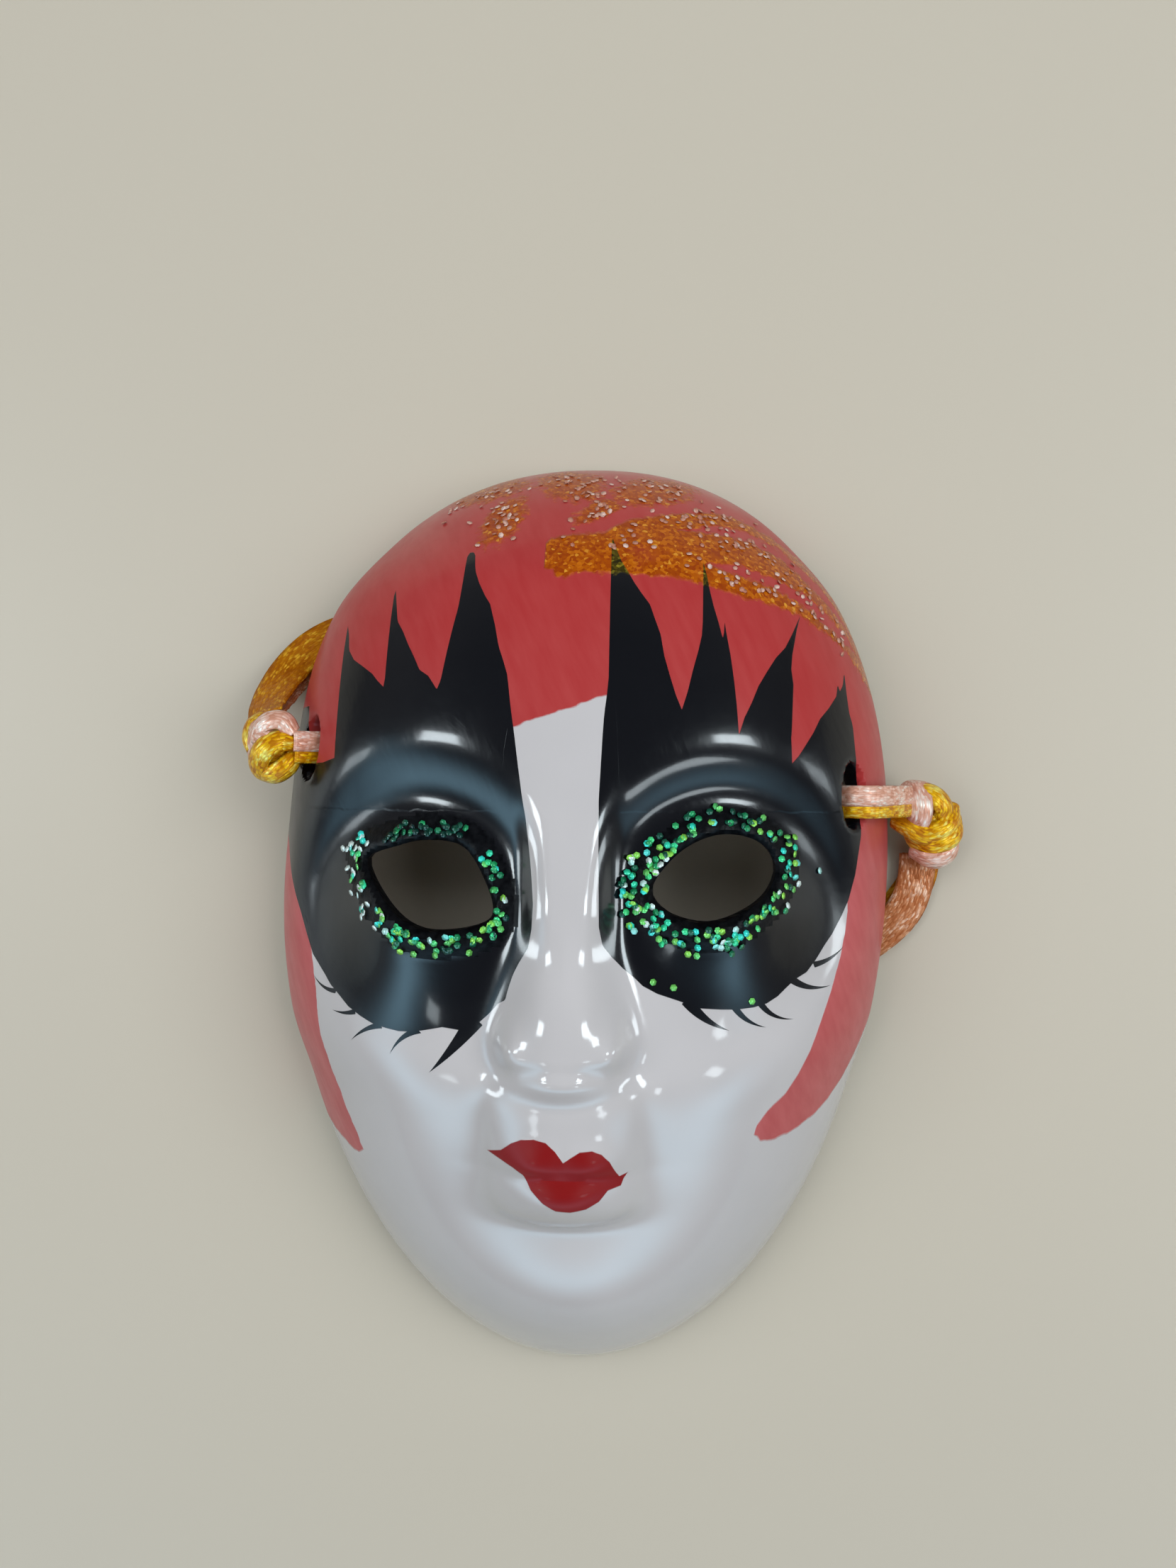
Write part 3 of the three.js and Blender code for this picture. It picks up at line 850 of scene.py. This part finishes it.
def round_rim(shell, rim):
    """Draws the outer skin's edge down and in under the wall."""
    for inset, height in RIM_ROUNDING:
        made = bmesh.ops.extrude_edge_only(shell, edges=rim)["geom"]
        rim = only(bmesh.types.BMEdge, made)
        for vert in only(bmesh.types.BMVert, made):
            x, y = vert.co.x - lean(vert.co.y), vert.co.y
            way = Vector((x / pressed(x, y), y - WIDEST_Y)).normalized()
            way *= outline_radius(way.x, way.y, inset)
            y = WIDEST_Y + way.y
            vert.co = (way.x * pressed(way.x, y) + lean(y), y, lifted(height, y))
    return rim


shell = bmesh.new()
face_skin = lay_skin(shell, FACE_GRID, 0, face_height)
face_rim = open_edges(face_skin)
hollow_skin = lay_skin(shell, HOLLOW_GRID, WALL, hollow_height)
hollow_rim = open_edges(hollow_skin)
face_rim = round_rim(shell, face_rim)
bmesh.ops.bridge_loops(shell, edges=face_rim + hollow_rim)
for hole in HOLES:
    glue = GLUE_HEIGHT if hole in EYES else 0
    front = open_hole(shell, face_skin, hole, face_height, HOLE_ROUNDING, glue)
    back = open_hole(shell, hollow_skin, hole, hollow_height, BACK_ROUNDING, 0)
    bmesh.ops.bridge_loops(shell, edges=front + back)
bmesh.ops.recalc_face_normals(shell, faces=shell.faces)
INSIDE = -0.25
CREASE = 0.6
PAINTED, BARE, GLUED = 0, 1, 2
for face in shell.faces:
    face.material_index = BARE if face.normal.z < INSIDE else PAINTED
    middle = face.calc_center_median()
    if face.material_index == PAINTED and any(hole.near(middle, AROUND_HOLE) for hole in EYES):
        if min(hole.clear(middle) for hole in EYES) < GLUE_REACH:
            face.material_index = GLUED
for edge in shell.edges:
    if len(edge.link_faces) == 2 and edge.calc_face_angle() > CREASE:
        edge.smooth = False

# Paint: each shape lies between a top and a foot, both drawn by x

# Left of the left slit (x below -35.35), from y 21 to 28.4, the black is carried out to the edge over the
# strip that lies dark under the ribbons
LEFT_BLACK_TOP = [
    (-43, 27), (-40, 27.6), (-37.5, 28.4), (-35.6, 28.4), (-35.35, 24), (-35.1, 20.7), (-32, 20.8),
    (-29.95, 21.4), (-29.9, 25),
    (-29.85, 34), (-29.8, 38.9), (-29.2, 37.1), (-28.9, 35.2), (-27.9, 33.8), (-26.5, 32.9),
    (-24.9, 31.8), (-24.1, 30.9), (-23.1, 30), (-22.95, 32), (-22.9, 38.4), (-22.85, 43.4),
    (-22.4, 41.1), (-21.9, 38.4), (-21, 37), (-20.1, 35.2), (-19.2, 33.6), (-18.4, 32),
    (-17.2, 31.2), (-16.5, 30.2), (-16.05, 29.5), (-15.6, 30.6), (-15.05, 33.8), (-14.45, 37),
    (-13.9, 39.7), (-13.6, 42.5), (-13.4, 46.7), (-13.1, 47.2), (-12.6, 47.2), (-12.3, 46.6),
    (-12.15, 44.7), (-11.5, 42.9), (-10.6, 41.1), (-9.9, 40), (-9.2, 37.5), (-8.6, 34.7),
    (-7.9, 32.7), (-7.4, 31.1), (-6.95, 27.5), (-6.45, 24.3), (-5.9, 20.2), (-5.4, 16.5),
    (-5, 14.3), (-4.5, 10.2), (-4.2, 7.5), (-3.95, 4.3),
]
LEFT_BLACK_FOOT = [
    (-43, 12), (-40.4, 11.7), (-39, 10.2), (-38.4, 8.2), (-37.75, 6.07), (-36.8, 3.7), (-35.7, 1.4),
    (-34.6, -1.2), (-33.4, -3.7),
    (-32.4, -4.8), (-31.3, -6), (-30.4, -7.1), (-29, -8.2), (-27.6, -9.4), (-25.8, -10.3),
    (-24, -11), (-22.2, -11.3), (-20.4, -11.5), (-18.5, -11.4), (-16.7, -11), (-14.9, -10.6),
    (-12.6, -10.9), (-10.9, -10.3), (-9.2, -8.7), (-8.1, -7.4), (-7.2, -6.9), (-6.9, -5.7),
    (-6.3, -3.9), (-5.6, -2.5), (-4.5, -0.7), (-4.1, 1.5), (-3.95, 4.3),
]
RIGHT_BLACK_TOP = [
    (3.55, 16.5), (3.75, 20.2), (3.9, 23.4), (4.1, 26.5), (4.4, 28.8), (4.6, 31.1), (4.65, 36),
    (4.7, 48.4), (4.75, 49), (5.2, 47.5), (5.9, 45.6), (6.8, 44), (7.5, 42.7), (8.4, 41.3),
    (9.4, 39.9), (10, 38.1), (10.7, 36.1), (11.1, 33.6), (11.8, 31.1), (12.5, 28.8), (13.2, 27.1),
    (13.9, 29.3), (14.5, 31.8), (15.2, 34.3), (15.7, 36.5), (15.85, 40), (15.95, 46.1), (16.4, 44),
    (16.7, 42), (17.2, 39.7), (17.7, 37.9), (18.1, 36.2), (18.3, 35.8), (18.4, 38.4),
    (18.65, 36.5), (19.1, 33.8), (19.5, 30.6), (19.8, 27.5), (20, 24.4), (26.55, 24.4),
    (26.65, 20.9), (27.5, 21.8), (28.4, 23.1),
    (29.5, 24.7), (30.5, 26.5), (31.8, 27.9), (33, 29.5), (33.3, 31.1), (33.6, 30.2), (34.1, 31),
    (34.5, 32.9), (34.65, 30), (34.9, 27.5), (35.4, 25.9), (35.5, 24.3), (35.8, 20.9),
    (36.4, 17), (36.45, 12),
]
# The third spike over the right eye leans out over its foot, so its two sides are drawn by y
LEANING_SPIKE_RIGHT = [
    (24.2, 26.6), (27.5, 26.8), (30.6, 27), (32.5, 26.8), (34.3, 27), (35.6, 27.3), (37.7, 27.8),
    (39.6, 28.4),
]
LEANING_SPIKE_LEFT = [
    (24.2, 20), (26.3, 20.7), (28.1, 21.6), (30.2, 22.5), (32, 23.6), (33.8, 24.8), (35.2, 26.1),
    (37, 27.1), (38.6, 27.9), (39.6, 28.4),
]
RIGHT_BLACK_FOOT = [
    (3.55, 12), (3.65, 2), (4.1, -0.3), (5.2, -1.8), (6.4, -3.1), (7.7, -4.2), (8.8, -5.3),
    (10.5, -6.2), (13, -7), (15.5, -7.9), (18, -8.1), (20, -8.2), (22, -8.1), (23.6, -7.8),
    (25, -7.1), (26.1, -6.2), (27.3, -5.3), (28.9, -4.6), (30.2, -3.2), (31.4, -1.6),
    (32.5, -0.3), (33.9, 2), (34.8, 3.8), (35.7, 7), (36.1, 9.7), (36.45, 12),
]
# Lashes: root, tip, sideways bend, half width at the root
LASHES = [
    ((-29.6, -7.8), (-33.2, -6.3), 0.5, 0.34), ((-26.6, -9.9), (-30, -10.2), 0.25, 0.34),
    ((-23, -11.1), (-27.1, -13.5), -0.35, 0.4), ((-18, -11.2), (-21.6, -14.4), -0.5, 0.45),
    ((-11, -9.6), (-16.5, -16.1), 0.2, 1.1), ((30, -3.8), (34.1, -2), -0.4, 0.4),
    ((27, -5.3), (32.2, -6.6), -0.6, 0.5), ((22.6, -7.3), (27.1, -10.1), -0.7, 0.45),
    ((19.6, -7.8), (23.6, -10.7), -0.5, 0.45), ((14, -6.9), (19, -10.7), -0.5, 0.8),
]
LIPS_TOP = [
    (-9.4, -24.9), (-7.6, -24.3), (-6.3, -23.2), (-5.1, -22.6), (-3.6, -22.4), (-2.2, -22.7),
    (-1.1, -23.7), (-0.2, -25), (0.6, -24.4), (1.7, -23.7), (3.1, -23.6), (4.2, -24.1),
    (5.1, -25.1), (5.8, -26.6), (6.2, -27.3), (7.2, -27),
]
LIPS_FOOT = [
    (-9.4, -24.9), (-7.6, -25.5), (-6.1, -26.1), (-4.9, -26.9), (-4, -28.6), (-2.6, -30),
    (-1.1, -30.9), (0.6, -31.1), (2.4, -30.8), (3.9, -30), (4.9, -28.8), (6.4, -28.5),
    (6.7, -27.7), (7.2, -27),
]
CAP_FOOT = [(-45, 15), (-8, 15), (-7.5, 24.7), (-1, 26.9), (5.5, 29.2), (6, 15), (47, 15)]
LEFT_CURL_TOP = [
    (-45, 30), (-35.2, 30), (-34.9, 1), (-34.4, 0), (-33.3, -5), (-32.9, -7.1), (-32.6, -11.4),
    (-32, -15), (-30.8, -18.6), (-29.7, -22.1), (-28.6, -25), (-27.6, -27.5), (-27, -29),
]
LEFT_CURL_FOOT = [
    (-45, -20), (-38.6, -20), (-36.9, -25), (-35, -27.4), (-31.9, -28.7), (-29.7, -29.5),
    (-28, -29.9), (-27, -29),
]
RIGHT_CURL_TOP = [
    (22.5, -24.5), (22.9, -23.1), (24.2, -21.4), (26.4, -19.6), (28.1, -17.1), (29.6, -14.3),
    (31, -10.7), (32.4, -7.1), (33.5, -3.6), (34.4, 0), (34.8, 3), (35.1, 30), (47, 30),
]
RIGHT_CURL_FOOT = [
    (22.5, -24.5), (23.5, -25.5), (25.3, -25.8), (28.1, -25.2), (31, -24), (33.1, -22.6),
    (35.3, -20.5), (37, -18), (38.6, -15), (40.5, -12), (47, -10),
]
# Streaks of clear orange gel with gold grains on the crown, and the coral gaps between them
GEL_TOP = [
    (-3.7, 46.3), (-3.5, 48), (-2.9, 48.9), (-1.2, 49.3), (1.6, 49.6), (3.8, 49.8), (4.9, 50.6),
    (7.1, 51.8), (10.4, 52.6), (13.8, 53.3), (17.7, 53.9), (21.6, 53.4), (26, 51.5), (31, 48),
    (36, 42), (40, 34),
]
GEL_FOOT = [
    (-3.7, 46.3), (-3.2, 44.9), (-2.1, 43.8), (-0.9, 43.1), (-0.1, 43.8), (1.6, 44), (4.9, 44),
    (8.2, 43.7), (11.6, 43.6), (14.9, 43), (18.2, 42.1), (21.6, 41.2), (24.9, 40.6), (28.2, 39.7),
    (31.6, 38), (35.4, 35.6), (40, 30),
]
UPPER_GAP = ([(13, 50.4), (18, 51.8), (22, 51.6), (27, 49.4), (33, 44), (37, 38)],
             [(13, 50.4), (18, 50.3), (22, 49.9), (27, 47.6), (33, 42), (37, 38)])
LOWER_GAP = ([(16.5, 45.6), (20, 45.9), (25, 44.6), (30, 42.4), (35, 38.6), (38, 35)],
             [(16.5, 45.6), (20, 44.4), (25, 43), (30, 40.6), (35, 37), (38, 35)])
GEL_PATCHES = [  # middle, half sizes, turn in degrees
    ((-9.3, 52), (4.2, 2.3), 62), ((-12.5, 58), (5.4, 2.4), 10), ((-1, 58.2), (4.4, 3), -20),
    ((2.8, 53.2), (3.4, 1.3), 30), ((10, 57), (5.4, 2.6), 12),
]


def make_painted_glaze():
    finish = Finish("painted_glaze", Specular_IOR_Level=0.2, Coat_Roughness=0.1, Coat_IOR=1.5)
    place = finish.place()
    x, y, _ = finish.parts(place)

    def drawn(points, across):
        """The height of a line drawn by the place across."""
        heights = [height for _, height in points]
        low, span = min(heights), max(heights) - min(heights)
        start, width = points[0][0], points[-1][0] - points[0][0]
        stops = [((place_across - start) / width, (height - low) / span) for place_across, height in points]
        curve = finish.node("ShaderNodeFloatCurve", {"stops": stops}, {"Value": (across - start) / width})
        return curve * span + low

    def between(top, foot, softness, across=x, up=y):
        """1 inside the shape between two drawn lines."""
        inside = (drawn(top, across) - up).least(up - drawn(foot, across))
        inside = inside.least(across - top[0][0]).least(top[-1][0] - across)
        return inside.sharp(softness)

    def lash(root, tip, bend, half_width):
        along = Vector(tip) - Vector(root)
        turn = math.atan2(along.y, along.x)
        size = (along.length,) * 3
        local = finish.stretched(place, size, (0, 0, turn), (*root, 0))
        share, side, _ = finish.parts(local)
        half_width /= along.length
        bow = share * (1 - share) * (4 * bend / along.length)
        inside = (1 - share) * half_width - abs(side - bow)
        return inside.least(share + 0.03).sharp(0.004)

    black = between(LEFT_BLACK_TOP, LEFT_BLACK_FOOT, 0.06)
    black = black.most(between(RIGHT_BLACK_TOP, RIGHT_BLACK_FOOT, 0.06))
    black = black.most(between(LEANING_SPIKE_RIGHT, LEANING_SPIKE_LEFT, 0.06, y, x))
    for stroke in LASHES:
        black = black.most(lash(*stroke))
    lips = between(LIPS_TOP, LIPS_FOOT, 0.12)

    wobble = finish.noise(place, 2.2, 3.0) - 0.5
    wide_x, wide_y = x + wobble * 0.5, y + wobble * 0.9
    cap = (wide_y - drawn(CAP_FOOT, x)).sharp(0.25)
    curls = between(LEFT_CURL_TOP, LEFT_CURL_FOOT, 0.35, wide_x, wide_y)
    curls = curls.most(between(RIGHT_CURL_TOP, RIGHT_CURL_FOOT, 0.35, wide_x, wide_y))
    coral = cap.most(curls)

    ragged = finish.noise(place, 1.1, 2.0) - 0.5
    gel_x, gel_y = x + ragged * 1.1, y + ragged * 1.3
    gel = between(GEL_TOP, GEL_FOOT, 0.5, gel_x, gel_y)
    for gap_top, gap_foot in (UPPER_GAP, LOWER_GAP):
        gap = between(gap_top, gap_foot, 0.5, gel_x, gel_y)
        gel = gel.least(1 - gap)
    for middle, half, turn in GEL_PATCHES:
        local = finish.stretched(place, (*half, 10), (0, 0, math.radians(turn)), (*middle, 0))
        px, py, _ = finish.parts(local)
        spot = (px * px + py * py) ** 0.5
        gel = gel.most((1.02 + ragged * 1.2 - spot).sharp(0.35) * 0.85)
    thin = finish.noise(place, 5.0, 2.0)
    gel = gel * (thin * 1.3 + 0.5).least(1)

    # Tones
    brush = finish.streaks(place, (1.2, 7, 4), 4.0, 0.4)
    cap_tone = finish.ramp(brush, [(0.3, CORAL), (0.75, CORAL_THIN)])
    curl_tone = finish.ramp(brush, [(0.3, CURL_CORAL), (0.75, CURL_CORAL_THIN)])
    coral_tone = finish.blend(curls * (1 - (y - 8) / 8).least(1).most(0), cap_tone, curl_tone)
    clouds = finish.noise(place, 14.0, 2.0)
    glaze_tone = finish.ramp(clouds, [(0.3, tuple(c * 0.94 for c in GLAZE)), (0.7, GLAZE)])
    speck = 1 - (finish.cells(place, SPECK_SPACING) * SPECK_SPACING - 0.16).sharp(0.1)
    glaze_tone = finish.blend(speck * 0.7, glaze_tone, rgba(CLAY_SPECK))
    grain = finish.node("ShaderNodeSeparateColor", None, {0: finish.cells(place, GRAIN_SIZE, "Color")})
    gel_stops = [(0.0, ORANGE_DEEP), (0.55, ORANGE), (0.93, ORANGE_GRAIN), (1.0, GOLD_GRAIN)]
    gel_tone = finish.ramp(grain, gel_stops)
    olive_tone = finish.ramp(grain, [(0.0, OLIVE_DEEP), (0.6, OLIVE), (1.0, OLIVE_GRAIN)])

    colour = finish.blend(coral, glaze_tone, coral_tone)
    colour = finish.blend(black, colour, rgba(ENAMEL))
    over_black = finish.blend(black, gel_tone, olive_tone)
    colour = finish.blend(gel, colour, over_black)
    colour = finish.blend(lips, colour, rgba(LIP_RED))

    smears = finish.noise(place, 3.5, 5.0, 0.6)
    rough = 0.07 + smears * 0.03
    rough = rough + coral * (smears * 0.2 + 0.28 - rough)
    rough = rough + black * (smears * 0.15 + 0.16 - rough)
    rough = rough + gel * (0.24 - rough)
    rough = rough + lips * (0.5 - rough)

    # Relief finer than the mesh: pooled glaze, brush strokes, enamel and gel standing proud
    pool = finish.noise(place, 5.0, 2.0) * 0.05 + finish.noise(place, 0.8, 2.0) * 0.002
    scratch = finish.streaks(place, (0.12, 3.5, 1), 2.0, 0.9)
    height = pool + coral * (brush * 0.035 + 0.02) + black * (scratch * 0.008 + smears * 0.03 + 0.03)
    height = height + gel * (grain * 0.09 + 0.05) + lips * 0.03
    outer = (abs(x) - 23).sharp(7)  # the enamel is duller down the sides
    enamel = (black * 0.25 + 0.45) * (1 - gel) * (1 - lips * 0.8) * (1 - outer * 0.8)
    finish.feed(Base_Color=colour, Roughness=rough, Coat_Weight=enamel, Normal=finish.bump(height))
    return finish.material


def make_bare_glaze():
    """The back of the wall: the same glaze, thin over the clay."""
    finish = Finish("bare_glaze", Specular_IOR_Level=0.4)
    place = finish.place()
    clouds = finish.noise(place, 9.0, 4.0)
    tone = finish.ramp(clouds, [(0.3, (0.50, 0.47, 0.42)), (0.7, (0.62, 0.60, 0.56))])
    grain = finish.noise(place, 0.5, 3.0)
    height = clouds * 0.15 + grain * 0.03
    finish.feed(Base_Color=tone, Roughness=clouds * 0.3 + 0.25, Normal=finish.bump(height))
    return finish.material


def make_glitter_glue():
    """Black enamel under a lumpy ring of dried glue, which hardly shines."""
    finish = Finish("glitter_glue", Specular_IOR_Level=0.12)
    place = finish.place()
    lumps = finish.noise(place, 0.9, 3.0)
    tone = finish.ramp(lumps, [(0.35, (0.001, 0.0012, 0.002)), (0.8, (0.006, 0.007, 0.009))])
    finish.feed(Base_Color=tone, Roughness=lumps * 0.3 + 0.25, Normal=finish.bump(lumps * 0.12))
    return finish.material


shell_finishes = [make_painted_glaze(), make_bare_glaze(), make_glitter_glue()]
new_piece(shell, "mask_shell", shell_finishes, ["mask"])

# Glitter: flat six-sided flakes set in glue round the eyes and in the gel on the crown

# Each arc: from and to in degrees round the hole's middle, count, nearest and farthest from the
# edge, and how bright its flakes are, which is a painted glint: how much light the flakes there seem to
# catch
LEFT_GLITTER = [
    (148, 206, 38, 0.9, 3.6, 0.85), (206, 262, 34, 0.4, 3.2, 0.68), (262, 312, 20, 0.4, 2.8, 0.6),
    (318, 352, 18, 0.4, 2.2, 0.68), (352, 392, 12, 0.4, 2.0, 0.6), (60, 142, 34, 0.6, 2.2, 0.25),
]
RIGHT_GLITTER = [
    (146, 212, 64, 0.4, 4.4, 0.78), (212, 280, 38, 0.5, 3.6, 0.66), (280, 330, 26, 0.5, 3.0, 0.62),
    (330, 392, 30, 0.5, 3.4, 0.68), (32, 90, 20, 0.8, 2.8, 0.42), (90, 146, 22, 0.8, 3.4, 0.5),
]
STRAY_FLAKES = [  # place and shade
    (30.6, 7.7, 0.95), (10, -4.8, 0.6), (12.4, -5.4, 0.6), (21.7, -7.3, 0.7), (20.2, -0.5, 0.4),
]
FLAKE_RADIUS = 0.44
FLAKE_THICKNESS = 0.06
FLAKE_LIFT = 0.05
FLAKE_LIFT_ON_GLUE = 0.28
CROWN_FLAKE_RADIUS = 0.36
CROWN_SPREAD = 0.6
CROWN_EDGE = 0.96
FLAKE_TILT = 0.30
CROWDING = 1.3
SHADE_SPREAD = 0.22
OUTWARD_STEP = 0.25


def add_flake(mesh, x, y, shade, radius, chance, lift=FLAKE_LIFT):
    """One flake on the face, tilted a little; shade is kept for its colour."""
    normal = face_normal(x, y)
    tilt = Vector((chance.gauss(0, FLAKE_TILT), chance.gauss(0, FLAKE_TILT), 0))
    turn = (normal + tilt).normalized().to_track_quat("Z", "Y").to_matrix()
    spin = Matrix.Rotation(chance.uniform(0, math.tau), 3, "Z")
    made = bmesh.ops.create_circle(mesh, cap_ends=True, segments=6, radius=radius)["verts"]
    face = made[0].link_faces[0]
    face[mesh.faces.layers.float["shade"]] = shade
    raised = bmesh.ops.extrude_face_region(mesh, geom=[face])["geom"]
    top = only(bmesh.types.BMVert, raised)
    bmesh.ops.translate(mesh, vec=(0, 0, FLAKE_THICKNESS), verts=top)
    middle = Vector((x, y, face_height(x, y))) + normal * (lift + radius * tilt.length * 0.5)
    for vert in made + top:
        vert.co = turn @ spin @ vert.co + middle
    for part in {f for v in made + top for f in v.link_faces}:
        part[mesh.faces.layers.float["shade"]] = shade


def heading(degrees):
    turn = math.radians(degrees)
    return Vector((math.cos(turn), math.sin(turn)))


def new_flakes():
    mesh = bmesh.new()
    mesh.faces.layers.float.new("shade")
    return mesh


def make_flake_finish(name, stops, metallic, roughness):
    finish = Finish(name, Metallic=metallic, Roughness=roughness, Specular_IOR_Level=0.8)
    shade = finish.node("ShaderNodeAttribute", {"attribute_name": "shade"}, output="Fac")
    finish.feed(Base_Color=finish.ramp(shade, stops))
    return finish.material


def ring_flakes(name, hole, arcs, strays, seed, material):
    chance = Random(seed)
    mesh = new_flakes()
    for start, end, count, nearest, farthest, bright in arcs:
        for _ in range(count):
            way = heading(chance.uniform(start, end))
            place = hole.heart.copy()
            while hole.gap(place)[0] < 0:
                place += way * OUTWARD_STEP
            place += way * mix(nearest, farthest, chance.random() ** CROWDING)
            shade = min(1, max(0, chance.gauss(bright, SHADE_SPREAD)))
            add_flake(mesh, place.x, place.y, shade, FLAKE_RADIUS, chance, FLAKE_LIFT_ON_GLUE)
    for x, y, shade in strays:
        add_flake(mesh, x, y, shade, FLAKE_RADIUS, chance)
    new_piece(mesh, name, [material])


# The green flakes' colour by shade, near-black to near-white: the glitter's greens and cyans, with painted
# dark reflections at the low end and painted glints at the high end
GREEN_STOPS = [
    (0.0, (0.004, 0.03, 0.03)), (0.36, (0.008, 0.12, 0.07)), (0.54, (0.02, 0.46, 0.16)),
    (0.66, (0.34, 0.88, 0.10)), (0.76, (0.04, 0.80, 0.30)), (0.88, (0.03, 0.85, 0.78)),
    (1.0, (0.80, 1.0, 1.0)),
]
green_flake = make_flake_finish("green_flake", GREEN_STOPS, 0.2, 0.2)
ring_flakes("left_eye_glitter", EYES[0], LEFT_GLITTER, [], 11, green_flake)
ring_flakes("right_eye_glitter", EYES[1], RIGHT_GLITTER, STRAY_FLAKES, 23, green_flake)

# Pale flakes on the crown: middle, half sizes, turn in degrees, count
CROWN_GLITTER = [
    ((-9.3, 52.3), (3.6, 2.0), 62, 26), ((-13, 57), (6.0, 3.0), 10, 46), ((-1, 58), (4.4, 3), -20, 40),
    ((2.8, 53.3), (3.4, 1.3), 30, 16), ((10, 57), (6.0, 3), 8, 44), ((14, 52.6), (8, 1.4), 8, 30),
    ((22, 48.4), (8, 2.2), -22, 44), ((23, 43), (8, 1.5), -18, 34), ((32, 40), (5, 2), -50, 22),
    ((6, 48.5), (6, 1.8), 0, 14),
]


def crown_flakes(material):
    chance = Random(5)
    mesh = new_flakes()
    for middle, half, turn, count in CROWN_GLITTER:
        way = heading(turn)
        side = Vector((-way.y, way.x))
        for _ in range(count):
            place = Vector(middle) + way * chance.gauss(0, half[0] * CROWN_SPREAD)
            place += side * chance.gauss(0, half[1] * CROWN_SPREAD)
            if outline_share(place.x - lean(place.y), place.y) > CROWN_EDGE:
                continue
            radius = CROWN_FLAKE_RADIUS * chance.uniform(0.75, 1.1)
            add_flake(mesh, place.x, place.y, chance.random(), radius, chance)
    new_piece(mesh, "crown_glitter", [material])


PALE_STOPS = [(0.0, (0.48, 0.16, 0.09)), (0.6, (0.62, 0.33, 0.25)), (1.0, (0.82, 0.62, 0.55))]
crown_flakes(make_flake_finish("pale_flake", PALE_STOPS, 0.0, 0.4))

# Table, light and surroundings

TABLE_SIZE = 2
table_mesh = bmesh.new()
bmesh.ops.create_grid(table_mesh, x_segments=1, y_segments=1, size=TABLE_SIZE / 2)
table_data = bpy.data.meshes.new("table")
table_mesh.to_mesh(table_data)
table_mesh.free()
table = add_object("table", table_data)
laminate = Finish("laminate", Base_Color=rgba(LAMINATE), Roughness=0.42, Specular_IOR_Level=0.35)
table_data.materials.append(laminate.material)


def add_panel(name, azimuth, elevation, width, height, strength, colour, shine=True, spread=True):
    """A soft light panel a metre off, which may show in the gloss, light the surfaces, or both."""
    data = bpy.data.lights.new(name, "AREA")
    data.shape = "RECTANGLE"
    data.size, data.size_y = width, height
    data.energy = strength * width * height * math.pi
    data.color = colour
    panel = add_object(name, data)
    a, e = math.radians(azimuth), math.radians(elevation)
    way = Vector((math.cos(a) * math.cos(e), math.sin(a) * math.cos(e), math.sin(e)))
    panel.location = way
    panel.rotation_euler = way.to_track_quat("Z", "Y").to_euler()
    panel.visible_glossy = shine
    panel.visible_diffuse = spread


DAYLIGHT = (0.84, 0.95, 1.0)
WINDOWS = [  # azimuth, elevation, width, height, strength
    (172, 48, 0.16, 0.22, 20), (6, 48, 0.16, 0.22, 20), (180, 14, 0.14, 0.24, 12),
    (0, 15, 0.14, 0.24, 12), (-34, 48, 0.12, 0.14, 9), (-136, 50, 0.12, 0.14, 6),
]
for number, (azimuth, elevation, width, height, strength) in enumerate(WINDOWS):
    add_panel(f"window_{number}", azimuth, elevation, width, height, strength, DAYLIGHT, spread=False)
WHITE = (1, 1, 1)
FILL_SIZE = (0.9, 0.6)
FILLS = [(8, 50, 3.4), (172, 50, 2.3), (90, 60, 1.7), (-90, 50, 0.5)]  # azimuth, elevation, strength
for number, (azimuth, elevation, strength) in enumerate(FILLS):
    add_panel(f"fill_{number}", azimuth, elevation, *FILL_SIZE, strength, WHITE, shine=False)

# The room: dark overhead, brighter low down, with one broad bright side towards -Y and -X
world = bpy.data.worlds.new("room")
bpy.context.scene.world = world
world.use_nodes = True
room = Nodes(world.node_tree)
way = room.node("ShaderNodeTexCoord", output="Generated")
east, north, up = room.parts(way)
BRIGHT_SIDE = math.radians(-105)
BRIGHT_HEIGHT = 0.42
BRIGHT_SPREAD = 0.19
LOW_TONE = (0.22, 0.22, 0.23)
OVERHEAD_TONE = (0.09, 0.095, 0.11)
BRIGHT_TONE = (1.6, 2.8, 3.6)
toward = east * math.cos(BRIGHT_SIDE) + north * math.sin(BRIGHT_SIDE)
band = (up - BRIGHT_HEIGHT) / BRIGHT_SPREAD
glow = (0 - band * band).math("EXPONENT") * (toward - 0.3).sharp(0.5)
overhead = (up - 0.5).sharp(0.5)
tone = room.blend(overhead, rgba(LOW_TONE), rgba(OVERHEAD_TONE))
tone = room.blend(glow, tone, rgba(BRIGHT_TONE))
room.tree.links.new(tone.socket, world.node_tree.nodes["Background"].inputs["Color"])
world.cycles_visibility.diffuse = False
bpy.context.scene.view_settings.view_transform = "Standard"
